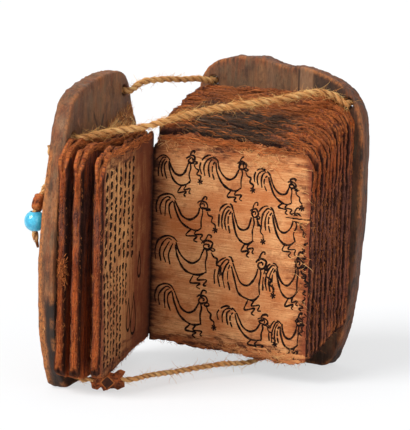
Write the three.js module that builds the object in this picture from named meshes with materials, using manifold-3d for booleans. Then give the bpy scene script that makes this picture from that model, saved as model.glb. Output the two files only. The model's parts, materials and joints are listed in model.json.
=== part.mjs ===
// Bark manuscript: a strip of beaten bark folded as a concertina between two
// carved wooden boards, carried by a straw cord that runs through the boards.
// Millimetres, +Z up. The book stands on the feet of its boards, half open.
// The gutter, where the two stacks of leaves meet, is a vertical line.
import * as THREE from 'three';
import { mergeVertices } from 'three/addons/utils/BufferGeometryUtils.js';
import Module from 'manifold-3d';

const wasm = await Module();
wasm.setup();

// Clearances
const TOUCH = 0.3;
const CORD_CLEARANCE = 0.95;
const BEAD_CLEARANCE = 0.45;

// Boards
const BOARD_THICKNESS = 7;
const BOARD_BEVEL = 1.6;
const BOARD_OVERHANG = 4;
const BOARD_OUTLINE_STEPS = 46;
const HOLE_SIDES = 16;
const CRACK_WIDTH = 1.1;
const CRACK_LENGTH = 13;
const CRACK_FROM_SPINE = 44.8;
const CRACK_HEAD = 130.4;
const CRACK_CUT_TOP = 140;

// Cords
const CARRY_CORD_DIAMETER = 3.1;
const FOOT_CORD_DIAMETER = 2.6;
const CORD_SIDES = 8;
const CORD_STEP = 7;
const HELD_CORD_STEP = 1.9;
const CORD_BEND = 2.5;
const HOLE_LEAD = 2.4;
const HOLE_DIAMETER = CARRY_CORD_DIAMETER + 2 * CORD_CLEARANCE;

// Leaves: each is a strip folded once at the fore edge, with two panels
const LEAF_WIDTH = 78.6;
const PANEL_THICKNESS = 1.1;
const LEAF_SPREAD = 24;
const TOP_CORNER = 17;
const BOTTOM_CORNER = 9;
const FOLD_STEPS = 5;
const CORNER_STEPS = 6;
const WIDTH_VARIATION = 0.5;
const TORN_POINTS = 7;

// Back stack, on the right as the book is read
const BACK_LEAVES = 11;
const BACK_SPINE_DEPTH = 42.2;
const BACK_FORE_THICKNESS = 2.7;
const BACK_FAN = 3.24;
const BACK_BOTTOM_FRONT = 9.7;
const BACK_BOTTOM_REAR = 19.4;
const BACK_TOP_FRONT = 95.6;
const BACK_TOP_REAR = 116.8;
const BACK_TEAR = 1.1;
const TORN_SHARE = 1 / 2.2;

// Front stack, on the left
const FRONT_LEAVES = 3;
const FRONT_SPINE_DEPTH = 12;
const FRONT_FORE_THICKNESS = 3.6;
const FRONT_PAGE_ANGLE = 74.2;
const FRONT_LEAF_ANGLE = 78.3;
const FRONT_BOARD_ANGLE = 80.7;
const FRONT_BOTTOM_PAGE = 11.1;
const FRONT_BOTTOM_BOARD = 8.3;
const FRONT_TOP_PAGE = 97;
const FRONT_TOP_BOARD = 102;
const FRONT_TEAR = 0.9;

// Bead, its tab and the toggle
const BEAD_DIAMETER = 9;
const BEAD_HEIGHT = 8;
const BEAD_Z = 71.1;
const BEAD_FROM_SPINE = 77;
const BEAD_SIDES = 20;
const BEAD_STEPS = 9;
const BEAD_CORD_STEP = 4;
const TAB_WIDTH = 6;
const TAB_HEIGHT = 5.6;
const TAB_THICKNESS = 4.4;
const TAB_BEVEL = 0.9;
const TOGGLE_WIDTH = 14.8;
const TOGGLE_THICKNESS = 5;
const TOGGLE_TURN = 31.4;
const TOGGLE_BEVEL = 1.1;

// Holes in the boards, as distance from the spine line and height
const BACK_SPINE_HOLE = [5, 120.8];
const BACK_FORE_HOLE = [74, 117];
const FRONT_SPINE_HOLE = [11.8, 119.5];
const FRONT_FORE_HOLE = [66.2, 105.1];

// Where the bead's cord runs on the front board: distance from the spine line,
// lift off the carry cord's own line and height
const BEAD_CORD_START = [[69.6, 0, 101.6], [72.4, 0.2, 97], [75.4, 1.6, 91]];
const BEAD_CORD_HANG_Z = 86;
const BEAD_CORD_BELOW_Z = 65.4;
const BEAD_CORD_END_Z = 59;
const BEAD_CORD_SWING = [0.6, 1];

const radians = THREE.MathUtils.degToRad;
const backPitch = (BACK_SPINE_DEPTH - TOUCH) / BACK_LEAVES;
const frontPitch = (FRONT_SPINE_DEPTH - TOUCH) / FRONT_LEAVES;

function standardMaterial(color, roughness, metalness = 0) {
  return new THREE.MeshStandardMaterial({ color, roughness, metalness });
}

const boardWood = () => standardMaterial(0x57402f, 0.6);
const bark = () => standardMaterial(0xa35a2c, 0.95);
const pageBark = () => standardMaterial(0xc99762, 0.9);
const straw = () => standardMaterial(0xc3965a, 0.9);
const hide = () => standardMaterial(0x6b3c22, 0.75);
const glassBead = () => standardMaterial(0x3cb9d7, 0.15);

function toSolid(geometry) {
  const bare = geometry.clone();
  bare.deleteAttribute('normal');
  bare.deleteAttribute('uv');
  const merged = mergeVertices(bare, 1e-4);
  return new wasm.Manifold(new wasm.Mesh({
    numProp: 3,
    vertProperties: new Float32Array(merged.attributes.position.array),
    triVerts: Uint32Array.from(merged.index.array),
  }));
}

function toGeometry(solid) {
  const mesh = solid.getMesh();
  const geometry = new THREE.BufferGeometry();
  geometry.setAttribute('position', new THREE.BufferAttribute(mesh.vertProperties, 3));
  geometry.setIndex(new THREE.BufferAttribute(mesh.triVerts, 1));
  return geometry;
}

// A repeatable value from -1 to 1 for the small differences between leaves
function variation(index, seed) {
  const value = Math.sin(index * 12.9898 + seed * 78.233) * 43758.5453;
  return 2 * (value - Math.floor(value)) - 1;
}

// A shape drawn as distance and height, made a plate of the given thickness
// that starts at y = 0 and runs towards +y
function standingPlate(shape, thickness, bevel = 0) {
  const geometry = new THREE.ExtrudeGeometry(shape, {
    depth: thickness - 2 * bevel,
    bevelEnabled: bevel > 0,
    bevelThickness: bevel,
    bevelSize: bevel,
    bevelOffset: -bevel,
    bevelSegments: 2,
    steps: 1,
  });
  geometry.rotateX(Math.PI / 2);
  geometry.translate(0, thickness - bevel, 0);
  return geometry;
}

function closedOutline(points, steps) {
  const curve = new THREE.CatmullRomCurve3(
    points.map(([x, z]) => new THREE.Vector3(x, z, 0)), true, 'centripetal');
  const spaced = curve.getSpacedPoints(steps).slice(0, -1);
  return new THREE.Shape(spaced.map((p) => new THREE.Vector2(p.x, p.y)));
}

function holeCutter([x, z]) {
  const cutter = new THREE.CylinderGeometry(
    HOLE_DIAMETER / 2, HOLE_DIAMETER / 2, 3 * BOARD_THICKNESS, HOLE_SIDES);
  cutter.translate(x, BOARD_THICKNESS / 2, z);
  return toSolid(cutter);
}

// Boards are cut flat at the foot, where they stand
function carvedBoard(outline, holes) {
  const plate = standingPlate(closedOutline(outline, BOARD_OUTLINE_STEPS), BOARD_THICKNESS, BOARD_BEVEL);
  let solid = toSolid(plate);
  holes.forEach((hole) => {
    solid = solid.subtract(holeCutter(hole));
  });
  const reach = 400;
  const below = new THREE.BoxGeometry(reach, reach, reach);
  below.translate(0, 0, -reach / 2);
  return solid.subtract(toSolid(below));
}

// Hand-cut outlines: broad rounded heads, and a foot narrower than the middle
const backBoardOutline = [
  [4, -0.8], [-0.6, 6], [-1.8, 30], [-1.8, 95], [-1.5, 121], [4.1, 128.5],
  [15, 132.2], [28, 133.2], [38.8, 131], [CRACK_FROM_SPINE, CRACK_HEAD], [50, 130.8],
  [61.5, 128.4],
  [72, 123.8], [79.2, 115], [82, 102], [82.2, 84], [81.5, 61.6], [80, 41.5],
  [78, 25], [73, 8], [66, -0.8],
];
const frontBoardOutline = [
  [6, -0.8], [0, 4], [-2.5, 25], [-2.8, 85], [-3.6, 103], [2, 111.2],
  [6, 121], [12, 126.8], [24, 128.6], [39, 127.8], [56, 124.8], [66.5, 120.4],
  [71.4, 112.4], [73.8, 105], [79.4, 80.6], [83.4, 60.4], [82.8, 39], [79.5, 18],
  [73, 4.4], [66, -0.8],
];

function crackCutter() {
  const wedge = new THREE.Shape([
    new THREE.Vector2(CRACK_FROM_SPINE, CRACK_HEAD - CRACK_LENGTH),
    new THREE.Vector2(CRACK_FROM_SPINE + CRACK_WIDTH, CRACK_CUT_TOP),
    new THREE.Vector2(CRACK_FROM_SPINE - CRACK_WIDTH / 3, CRACK_CUT_TOP),
  ]);
  const cutter = standingPlate(wedge, 3 * BOARD_THICKNESS);
  cutter.translate(0, -BOARD_THICKNESS, 0);
  return toSolid(cutter);
}

// The strip seen from above: two panels that spread at the spine and meet in
// a round fold at the fore edge
function hairpinShape(width, spineThickness, foreThickness) {
  const shape = new THREE.Shape();
  const spineHalf = spineThickness / 2;
  const foreHalf = foreThickness / 2;
  const slitFore = foreHalf - PANEL_THICKNESS;
  const slitSpine = spineHalf - PANEL_THICKNESS;
  const foldCentre = width - foreHalf;
  shape.moveTo(TOUCH, -spineHalf);
  shape.lineTo(LEAF_SPREAD, -foreHalf);
  shape.lineTo(foldCentre, -foreHalf);
  for (let i = 1; i <= FOLD_STEPS; i++) {
    const angle = -Math.PI / 2 + (Math.PI * i) / FOLD_STEPS;
    shape.lineTo(foldCentre + foreHalf * Math.cos(angle), foreHalf * Math.sin(angle));
  }
  shape.lineTo(LEAF_SPREAD, foreHalf);
  shape.lineTo(TOUCH, spineHalf);
  shape.lineTo(TOUCH, slitSpine);
  shape.lineTo(LEAF_SPREAD, slitFore);
  shape.lineTo(foldCentre, slitFore);
  shape.lineTo(foldCentre + slitFore, 0);
  shape.lineTo(foldCentre, -slitFore);
  shape.lineTo(LEAF_SPREAD, -slitFore);
  shape.lineTo(TOUCH, -slitSpine);
  return shape;
}

// The leaf seen square on: round at the fore corners, uneven where it is torn
function leafOutline(width, bottom, top, tear, seed) {
  const shape = new THREE.Shape();
  const fore = width + TOUCH;
  shape.moveTo(-TOUCH, bottom);
  shape.lineTo(fore - BOTTOM_CORNER, bottom);
  for (let i = 1; i <= CORNER_STEPS; i++) {
    const angle = -Math.PI / 2 + (Math.PI / 2) * (i / CORNER_STEPS);
    shape.lineTo(
      fore - BOTTOM_CORNER + BOTTOM_CORNER * Math.cos(angle),
      bottom + BOTTOM_CORNER + BOTTOM_CORNER * Math.sin(angle));
  }
  for (let i = 0; i <= CORNER_STEPS; i++) {
    const angle = (Math.PI / 2) * (i / CORNER_STEPS);
    shape.lineTo(
      fore - TOP_CORNER + TOP_CORNER * Math.cos(angle),
      top - TOP_CORNER + TOP_CORNER * Math.sin(angle));
  }
  const tornPoints = tear > 0 ? TORN_POINTS : 0;
  for (let i = 1; i <= tornPoints; i++) {
    const x = (fore - TOP_CORNER) * (1 - i / (tornPoints + 1));
    shape.lineTo(x, top + tear * variation(i, seed));
  }
  shape.lineTo(-TOUCH, top);
  return shape;
}

function foldedLeaf({ width, spineThickness, foreThickness, bottom, top, tear, seed }) {
  const strip = new THREE.ExtrudeGeometry(
    hairpinShape(width, spineThickness, foreThickness),
    { depth: top - bottom + 2 * tear, bevelEnabled: false, steps: 1 });
  strip.translate(0, 0, bottom);
  const plateDepth = 4 * Math.max(spineThickness, foreThickness);
  const plate = standingPlate(leafOutline(width, bottom, top, tear, seed), plateDepth);
  plate.translate(0, -plateDepth / 2, 0);
  return toGeometry(toSolid(strip).intersect(toSolid(plate)));
}

function cordSection(diameter) {
  const points = [];
  for (let i = 0; i < CORD_SIDES; i++) {
    const angle = (2 * Math.PI * i) / CORD_SIDES;
    points.push(new THREE.Vector2(
      (diameter / 2) * Math.cos(angle), (diameter / 2) * Math.sin(angle)));
  }
  return new THREE.Shape(points);
}

function cordAlong(points, diameter, step) {
  const curve = new THREE.CatmullRomCurve3(points, false, 'centripetal');
  const steps = Math.max(3, Math.round(curve.getLength() / step));
  return new THREE.ExtrudeGeometry(
    cordSection(diameter), { steps, bevelEnabled: false, extrudePath: curve });
}

// A board's own frame: x from the spine line to the fore edge, y from the
// inner face outwards, z up
function placedBoard(origin, angle, outwardSide) {
  const along = new THREE.Vector3(Math.cos(angle), Math.sin(angle), 0);
  const outward = new THREE.Vector3(-Math.sin(angle), Math.cos(angle), 0).multiplyScalar(outwardSide);
  return {
    at(x, y, z) {
      return origin.clone().addScaledVector(along, x).addScaledVector(outward, y)
        .add(new THREE.Vector3(0, 0, z));
    },
  };
}

// The cord's stretch that a board holds: through one hole, along the outer
// face and back through the other
function heldCord(board, [x0, z0], [x1, z1]) {
  const direction = new THREE.Vector2(x1 - x0, z1 - z0).normalize();
  const lift = BOARD_THICKNESS + TOUCH + CARRY_CORD_DIAMETER / 2;
  const turn = (x, z, sign) => [0, 0.5, 1].map((part) => {
    const angle = (part * Math.PI) / 2;
    const forward = sign * CORD_BEND * (1 - Math.cos(angle));
    const depth = lift - CORD_BEND + CORD_BEND * Math.sin(angle);
    return board.at(x + direction.x * forward, depth, z + direction.y * forward);
  });
  const points = [
    board.at(x0, TOUCH, z0), ...turn(x0, z0, 1),
    ...[0.2, 0.4, 0.6, 0.8].map((part) => board.at(
      THREE.MathUtils.lerp(x0, x1, part), lift, THREE.MathUtils.lerp(z0, z1, part))),
    ...turn(x1, z1, -1).reverse(), board.at(x1, TOUCH, z1),
  ];
  return cordAlong(points, CARRY_CORD_DIAMETER, HELD_CORD_STEP);
}

const book = new THREE.Group();

function addMesh(name, geometry, material, position, angle = 0) {
  const mesh = new THREE.Mesh(geometry, material);
  mesh.name = name;
  if (position) mesh.position.copy(position);
  mesh.rotation.z = angle;
  book.add(mesh);
}

// Back stack: the page plane looks towards -Y, and the leaves lean to the
// board by a small fan. The last leaf is glued to the board.
const backAngle = -radians(BACK_FAN);
for (let i = 0; i < BACK_LEAVES; i++) {
  const part = i / (BACK_LEAVES - 1);
  const geometry = foldedLeaf({
    width: LEAF_WIDTH + WIDTH_VARIATION * variation(i, 1),
    spineThickness: backPitch - TOUCH,
    foreThickness: BACK_FORE_THICKNESS,
    bottom: THREE.MathUtils.lerp(BACK_BOTTOM_FRONT, BACK_BOTTOM_REAR, part),
    top: THREE.MathUtils.lerp(BACK_TOP_FRONT, BACK_TOP_REAR, part),
    tear: BACK_TEAR * Math.max(0, 1 - part / TORN_SHARE),
    seed: i + 2,
  });
  const spine = new THREE.Vector3(0, (i + 0.5) * backPitch, 0);
  const fan = backAngle * ((i + 0.5) / BACK_LEAVES);
  addMesh(`back_leaf_${i + 1}`, geometry, i === 0 ? pageBark() : bark(), spine, fan);
}

const backOrigin = new THREE.Vector3(0, BACK_SPINE_DEPTH, 0);
const backBoard = placedBoard(backOrigin, backAngle, 1);
const backBoardSolid = carvedBoard(backBoardOutline, [BACK_SPINE_HOLE, BACK_FORE_HOLE])
  .subtract(crackCutter());
addMesh('back_board', toGeometry(backBoardSolid), boardWood(), backOrigin, backAngle);

// Front stack: its page stands at an angle to the back page. The last leaf is
// glued to the front board.
const frontAngle = -radians(FRONT_BOARD_ANGLE);
const frontInnerX = -FRONT_SPINE_DEPTH;
const frontOrigin = new THREE.Vector3(frontInnerX, 0, 0)
  .addScaledVector(new THREE.Vector3(Math.cos(frontAngle), Math.sin(frontAngle), 0), -BOARD_OVERHANG);
const frontBoard = placedBoard(frontOrigin, frontAngle, -1);
const frontLeafAngles = [FRONT_PAGE_ANGLE, FRONT_LEAF_ANGLE, FRONT_BOARD_ANGLE].map((a) => -radians(a));
for (let i = 0; i < FRONT_LEAVES; i++) {
  const part = i / (FRONT_LEAVES - 1);
  const angle = frontLeafAngles[i];
  const squarePitch = frontPitch * Math.cos(Math.PI / 2 + angle);
  const geometry = foldedLeaf({
    width: LEAF_WIDTH + WIDTH_VARIATION * variation(i, 7),
    spineThickness: squarePitch - TOUCH,
    foreThickness: FRONT_FORE_THICKNESS,
    bottom: THREE.MathUtils.lerp(FRONT_BOTTOM_PAGE, FRONT_BOTTOM_BOARD, part),
    top: THREE.MathUtils.lerp(FRONT_TOP_PAGE, FRONT_TOP_BOARD, part),
    tear: i === 0 ? FRONT_TEAR : 0,
    seed: i + 30,
  });
  const spine = new THREE.Vector3(-(i + 0.5) * frontPitch, 0, 0);
  if (i === FRONT_LEAVES - 1) {
    const fromBoard = squarePitch / 2 + TOUCH;
    spine.copy(frontBoard.at(BOARD_OVERHANG, -fromBoard, 0));
  }
  addMesh(`front_leaf_${i + 1}`, geometry, i === 0 ? pageBark() : bark(), spine, angle);
}

// The front board's outline is drawn from the spine line outwards, and its
// thickness runs away from the leaves
const frontBoardGeometry = toGeometry(carvedBoard(frontBoardOutline, [FRONT_SPINE_HOLE, FRONT_FORE_HOLE]));
frontBoardGeometry.translate(0, -BOARD_THICKNESS, 0);
addMesh('front_board', frontBoardGeometry, boardWood(), frontOrigin, frontAngle);

// Carry cord: one loop in four stretches, two held by the boards and two free
addMesh('back_board_cord', heldCord(backBoard, BACK_SPINE_HOLE, BACK_FORE_HOLE), straw());
addMesh('front_board_cord', heldCord(frontBoard, FRONT_SPINE_HOLE, FRONT_FORE_HOLE), straw());

const point = (x, y, z) => new THREE.Vector3(x, y, z);
const leaveHole = (board, [x, z]) => [board.at(x, 0, z), board.at(x, -HOLE_LEAD, z)];
const foreStrand = [
  ...leaveHole(frontBoard, FRONT_FORE_HOLE),
  point(6, -50, 107), point(17.9, -35.2, 109.4), point(25.8, -24.8, 112.8),
  point(35.3, -12.2, 115.8), point(45.3, 0.9, 117.7), point(54, 12.4, 119.3),
  point(60.5, 20.8, 121.2), point(65.4, 27.4, 122), point(69.6, 32.6, 120.6),
  ...leaveHole(backBoard, BACK_FORE_HOLE).reverse(),
];
const spineStrand = [
  ...leaveHole(frontBoard, FRONT_SPINE_HOLE),
  point(-7.2, 1.6, 122.6), point(-3.7, 12.4, 123.1), point(-0.4, 24, 122.4), point(2.6, 33, 122.2),
  ...leaveHole(backBoard, BACK_SPINE_HOLE).reverse(),
];
addMesh('fore_strand', cordAlong(foreStrand, CARRY_CORD_DIAMETER, CORD_STEP), straw());
addMesh('spine_strand', cordAlong(spineStrand, CARRY_CORD_DIAMETER, CORD_STEP), straw());

// Toggle of folded hide on the foot cord, under the front page's fore corner
const toggleAngle = radians(TOGGLE_TURN);
const togglePlace = point(16, -59, 0);
const toggleOutline = new THREE.Shape([
  [-TOGGLE_WIDTH / 2, 5], [-6, 2.4], [-3.4, 1.6], [-0.9, TOUCH], [1.6, 1.2], [6.6, 2.6],
  [TOGGLE_WIDTH / 2, 5.2], [6.6, 7.8], [4, 9.1], [-2.6, 8.6], [-5.8, 7.4],
].map(([x, z]) => new THREE.Vector2(x, z)));
const toggleGeometry = standingPlate(toggleOutline, TOGGLE_THICKNESS, TOGGLE_BEVEL);
toggleGeometry.translate(0, -TOGGLE_THICKNESS / 2, 0);
addMesh('toggle', toggleGeometry, hide(), togglePlace, toggleAngle);

// Foot cord: from the front board, through the toggle, to the back stack
const backLeafBottom = (index) => THREE.MathUtils.lerp(
  BACK_BOTTOM_FRONT, BACK_BOTTOM_REAR, index / (BACK_LEAVES - 1));
const besideToggle = (x, z) => togglePlace.clone()
  .add(point(x * Math.cos(toggleAngle), x * Math.sin(toggleAngle), z));
const toggleEnd = TOGGLE_WIDTH / 2 + TOUCH;
const footCordLeft = [
  frontBoard.at(64, -TOUCH, 5.6), frontBoard.at(64.4, -3, 5.4),
  besideToggle(-toggleEnd - 2.6, 5.2), besideToggle(-toggleEnd, 5.2),
];
const footCordRight = [
  besideToggle(toggleEnd, 5.4), besideToggle(toggleEnd + 2.4, 5.6), point(27, -42.6, 5.6),
  point(31, -29, 5.1), point(36.4, -15.6, 5.3), point(41.7, -5.3, 5.6), point(45.6, 2.2, 5),
  point(49, 8.6, 5.6), point(50.2, 11.4, backLeafBottom(2) - TOUCH - 2.6),
  point(50.2, 11.4, backLeafBottom(2) - TOUCH),
];
addMesh('foot_cord_left', cordAlong(footCordLeft, FOOT_CORD_DIAMETER, CORD_STEP / 2), straw());
addMesh('foot_cord_right', cordAlong(footCordRight, FOOT_CORD_DIAMETER, CORD_STEP), straw());

// Bead on its own cord, which hangs from the fore hole down the outer face
const beadLift = BOARD_THICKNESS + TOUCH + BEAD_DIAMETER / 2;
const tabZ = BEAD_Z + BEAD_HEIGHT / 2 + TOUCH + TAB_HEIGHT / 2;
const cordLift = BOARD_THICKNESS + TOUCH + CARRY_CORD_DIAMETER / 2;
const onHang = (z) => frontBoard.at(BEAD_FROM_SPINE, beadLift, z);
const beadCordUpper = [
  ...BEAD_CORD_START.map(([x, lift, z]) => frontBoard.at(x, cordLift + lift, z)),
  onHang(BEAD_CORD_HANG_Z), onHang(tabZ + TAB_HEIGHT / 2 + 3 * TOUCH),
  onHang(tabZ + TAB_HEIGHT / 2 + TOUCH),
];
const beadCordLower = [
  onHang(tabZ - TAB_HEIGHT / 2 - TOUCH / 3), onHang(BEAD_Z), onHang(BEAD_CORD_BELOW_Z),
  frontBoard.at(BEAD_FROM_SPINE + BEAD_CORD_SWING[0], beadLift - BEAD_CORD_SWING[1], BEAD_CORD_END_Z),
];
addMesh('bead_cord_upper', cordAlong(beadCordUpper, CARRY_CORD_DIAMETER, BEAD_CORD_STEP), straw());
addMesh('bead_cord_lower', cordAlong(beadCordLower, CARRY_CORD_DIAMETER, BEAD_CORD_STEP), straw());

function roundBead() {
  const bore = CARRY_CORD_DIAMETER / 2 + BEAD_CLEARANCE;
  const half = Math.asin(Math.min(1, BEAD_HEIGHT / BEAD_DIAMETER));
  const profile = [];
  for (let i = 0; i <= BEAD_STEPS; i++) {
    const angle = -half + (2 * half * i) / BEAD_STEPS;
    profile.push(new THREE.Vector2(
      (BEAD_DIAMETER / 2) * Math.cos(angle), (BEAD_DIAMETER / 2) * Math.sin(angle)));
  }
  profile.unshift(new THREE.Vector2(bore, -BEAD_HEIGHT / 2));
  profile.push(new THREE.Vector2(bore, BEAD_HEIGHT / 2));
  profile.push(profile[0].clone());
  const lathe = new THREE.LatheGeometry(profile, BEAD_SIDES);
  lathe.rotateX(Math.PI / 2);
  return lathe;
}
addMesh('bead', roundBead(), glassBead(), onHang(BEAD_Z), frontAngle);

const tabShape = new THREE.Shape([
  [-TAB_WIDTH / 2, -0.6], [-2, -2.3], [-1.2, -TAB_HEIGHT / 2], [1.6, -TAB_HEIGHT / 2], [2.6, -1.6],
  [TAB_WIDTH / 2, 0.6], [2.2, 2.1], [1.2, TAB_HEIGHT / 2], [-1.4, TAB_HEIGHT / 2], [-2.5, 1.6],
].map(([x, z]) => new THREE.Vector2(x, z)));
const tabGeometry = standingPlate(tabShape, TAB_THICKNESS, TAB_BEVEL);
tabGeometry.translate(0, -TAB_THICKNESS / 2, 0);
addMesh('bead_tab', tabGeometry, hide(), onHang(tabZ), frontAngle);

// Origin: below the middle of the boards and leaves, at the feet
const freePieces = [
  'fore_strand', 'spine_strand', 'foot_cord_left', 'foot_cord_right', 'toggle',
  'bead_cord_upper', 'bead_cord_lower', 'bead', 'bead_tab',
];
book.updateMatrixWorld(true);
const held = new THREE.Box3();
book.children.filter((mesh) => !freePieces.includes(mesh.name)).forEach((mesh) => {
  held.expandByObject(mesh, true);
});
const middle = held.getCenter(new THREE.Vector3());
book.position.set(-middle.x, -middle.y, 0);

export default book;
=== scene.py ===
"""Bark manuscript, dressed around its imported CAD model.

Lengths in this file are millimetres unless a name says metres. part_point()
turns the source's own coordinates, whose z axis is the gutter, into the frame.
"""
import json

import bpy
import numpy as np
from mathutils import Matrix, Vector


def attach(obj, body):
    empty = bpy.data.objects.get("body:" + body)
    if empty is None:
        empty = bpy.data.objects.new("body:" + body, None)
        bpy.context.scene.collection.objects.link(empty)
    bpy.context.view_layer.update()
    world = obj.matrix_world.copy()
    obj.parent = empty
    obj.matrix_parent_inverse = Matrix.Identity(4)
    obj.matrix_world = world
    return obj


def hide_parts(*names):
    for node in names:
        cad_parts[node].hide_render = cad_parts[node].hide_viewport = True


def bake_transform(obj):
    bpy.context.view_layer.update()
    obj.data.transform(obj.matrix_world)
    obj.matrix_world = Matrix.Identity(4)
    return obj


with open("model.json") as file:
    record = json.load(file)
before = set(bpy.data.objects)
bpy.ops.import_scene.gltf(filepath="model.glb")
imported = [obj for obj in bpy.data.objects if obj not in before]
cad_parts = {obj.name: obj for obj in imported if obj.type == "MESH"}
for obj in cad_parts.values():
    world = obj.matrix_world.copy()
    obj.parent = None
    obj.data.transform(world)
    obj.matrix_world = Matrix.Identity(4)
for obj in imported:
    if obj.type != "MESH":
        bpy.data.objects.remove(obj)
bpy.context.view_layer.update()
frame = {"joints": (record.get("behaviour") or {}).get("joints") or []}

MM = 0.001
UP = np.array([0, 0, 1.0])
GUTTER = [c / MM for c in next(
    j for j in frame["joints"] if j["name"] == "book_opening")["pos_m"]]

# Sizes repeated from the part's source
TOUCH = 0.3
BOARD_THICKNESS = 7.0
HOLE_DIAMETER = 5.0
CARRY_CORD_DIAMETER = 3.1
FOOT_CORD_DIAMETER = 2.6
CORD_BEND = 2.5
LEAF_WIDTH = 78.6
PANEL_THICKNESS = 1.1
LEAF_SPREAD = 24.0
TOP_CORNER = 17.0
BOTTOM_CORNER = 9.0
BACK_LEAVES = 11
BACK_SPINE_DEPTH = 42.2
BACK_FORE_THICKNESS = 2.7
BACK_FAN = 3.24
BACK_BOTTOMS = (9.7, 19.4)
BACK_TOPS = (95.6, 116.8)
FRONT_LEAVES = 3
FRONT_SPINE_DEPTH = 12.0
FRONT_FORE_THICKNESS = 3.6
FRONT_ANGLES = (74.2, 78.3, 80.7)
FRONT_BOTTOMS = (11.1, 8.3)
FRONT_TOPS = (97.0, 102.0)
BEAD_DIAMETER = 9.0
BEAD_HEIGHT = 8.0
BEAD_Z = 71.1
TAB_HEIGHT = 5.6
BEAD_FROM_SPINE = 77.0
BACK_SPINE_HOLE = (5.0, 120.8)
BACK_FORE_HOLE = (74.0, 117.0)
FRONT_SPINE_HOLE = (11.8, 119.5)
FRONT_FORE_HOLE = (66.2, 105.1)
BACK_PITCH = (BACK_SPINE_DEPTH - TOUCH) / BACK_LEAVES
FRONT_PITCH = (FRONT_SPINE_DEPTH - TOUCH) / FRONT_LEAVES
BEAD_LIFT = BOARD_THICKNESS + TOUCH + BEAD_DIAMETER / 2
CORD_LIFT = BOARD_THICKNESS + TOUCH + CARRY_CORD_DIAMETER / 2

# How far the worn leaves depart from the source's: tops at the spine and at the fore edge, bottoms, corners, folds
BACK_RISE_SPINE = (5.0, 7.6, 8.2, 8.4, 8.2, 7.6, 6.8, 5.9, 4.7, 3.5, 2.0)
BACK_RISE_FORE = (4.8, 5.6, 6.0, 6.2, 5.8, 5.2, 4.4, 3.4, 2.8, 2.6, 2.8)
BACK_WEATHER = (0, 1, 1, 1, 1, 0.7, 0.4, 0.2, 0.2, 0.2, 0.2)
FRONT_RISE = (4.2, 3.2, 2.2)
FRONT_HANG = (2.8, 2.8, 1.6)
TOP_SQUARENESS = 3.0
BACK_BOTTOM_SQUARENESS = 3.6
FRONT_BOTTOM_SQUARENESS = 2.3
FRONT_FORE_SWELL = 0.6


def part_point(x, y, z):
    return np.array([x + GUTTER[0], y + GUTTER[1], z], float)


def between(pair, part):
    return pair[0] + (pair[1] - pair[0]) * part


# ---- Noise and curves ----

def lattice(cell, seed):
    h = cell[..., 0] * 374761393 + cell[..., 1] * 668265263 + cell[..., 2] * 1274126177
    h = (h + seed * 974634777) & 0xFFFFFFFF
    h = ((h ^ (h >> 13)) * 1103515245 + 12345) & 0xFFFFFFFF
    h = ((h ^ (h >> 16)) * 69069) & 0xFFFFFFFF
    return (h >> 8) / 8388608.0 - 1.0


def noise(points, seed=0):
    """Smooth value noise from -1 to 1 at an array of points."""
    points = np.asarray(points, float)
    cell = np.floor(points).astype(np.int64)
    f = points - cell
    u = f * f * (3 - 2 * f)
    total = np.zeros(points.shape[:-1])
    for corner in range(8):
        step = np.array([(corner >> k) & 1 for k in range(3)])
        total += np.prod(np.where(step, u, 1 - u), axis=-1) * lattice(cell + step, seed)
    return total


def fractal(points, seed, octaves=3):
    return sum(noise(np.asarray(points) * 2 ** k, seed + k) * 0.5 ** k for k in range(octaves)) / 1.75


def stack(*parts):
    return np.stack(np.broadcast_arrays(*[np.asarray(p, float) for p in parts]), axis=-1)


def ripple(seed, *coordinates):
    """Noise at points given coordinate by coordinate."""
    return noise(stack(*coordinates), seed)


def smoothstep(low, high, value):
    t = np.clip((value - low) / (high - low), 0, 1)
    return t * t * (3 - 2 * t)


def evenly(line, count):
    gone = np.concatenate([[0], np.cumsum(np.linalg.norm(np.diff(line, axis=0), axis=1))])
    wanted = np.linspace(0, gone[-1], count)
    return np.stack([np.interp(wanted, gone, line[:, k]) for k in range(line.shape[1])], axis=1)


def catmull_rom(points, count, closed=False):
    """Centripetal Catmull-Rom curve through the points, as count evenly spaced points."""
    points = np.asarray(points, float)
    if closed:
        padded = np.vstack([points[-1], points, points[0], points[1]])
    else:
        padded = np.vstack([2 * points[0] - points[1], points, 2 * points[-1] - points[-2]])
    fine = []
    for i in range(len(padded) - 3):
        p0, p1, p2, p3 = padded[i:i + 4]
        d0, d1, d2 = (max(np.linalg.norm(b - a) ** 0.5, 1e-4) for a, b in ((p0, p1), (p1, p2), (p2, p3)))
        t1 = ((p1 - p0) / d0 - (p2 - p0) / (d0 + d1) + (p2 - p1) / d1) * d1
        t2 = ((p2 - p1) / d1 - (p3 - p1) / (d1 + d2) + (p3 - p2) / d2) * d1
        t = np.linspace(0, 1, 24, endpoint=False)[:, None]
        fine.append(p1 + t1 * t + (3 * (p2 - p1) - 2 * t1 - t2) * t ** 2 + (2 * (p1 - p2) + t1 + t2) * t ** 3)
    fine.append((padded[1] if closed else padded[-2])[None, :])
    return evenly(np.vstack(fine), count + 1)[:-1] if closed else evenly(np.vstack(fine), count)


def length_of(line):
    return float(np.linalg.norm(np.diff(line, axis=0), axis=1).sum())


def metres(points):
    return (np.asarray(points, float) * MM).tolist()


# ---- Meshes ----

def add_object(name, data):
    made = bpy.data.objects.new(name, data)
    bpy.context.scene.collection.objects.link(made)
    return made


def plain_mesh(name, verts, faces):
    mesh = bpy.data.meshes.new(name)
    mesh.from_pydata(verts, [], faces)
    return mesh


def set_points(mesh, name, kind, field, values):
    attribute = mesh.attributes.new(name, kind, "POINT")
    attribute.data.foreach_set(field, np.asarray(values, np.float32).ravel())


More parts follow.
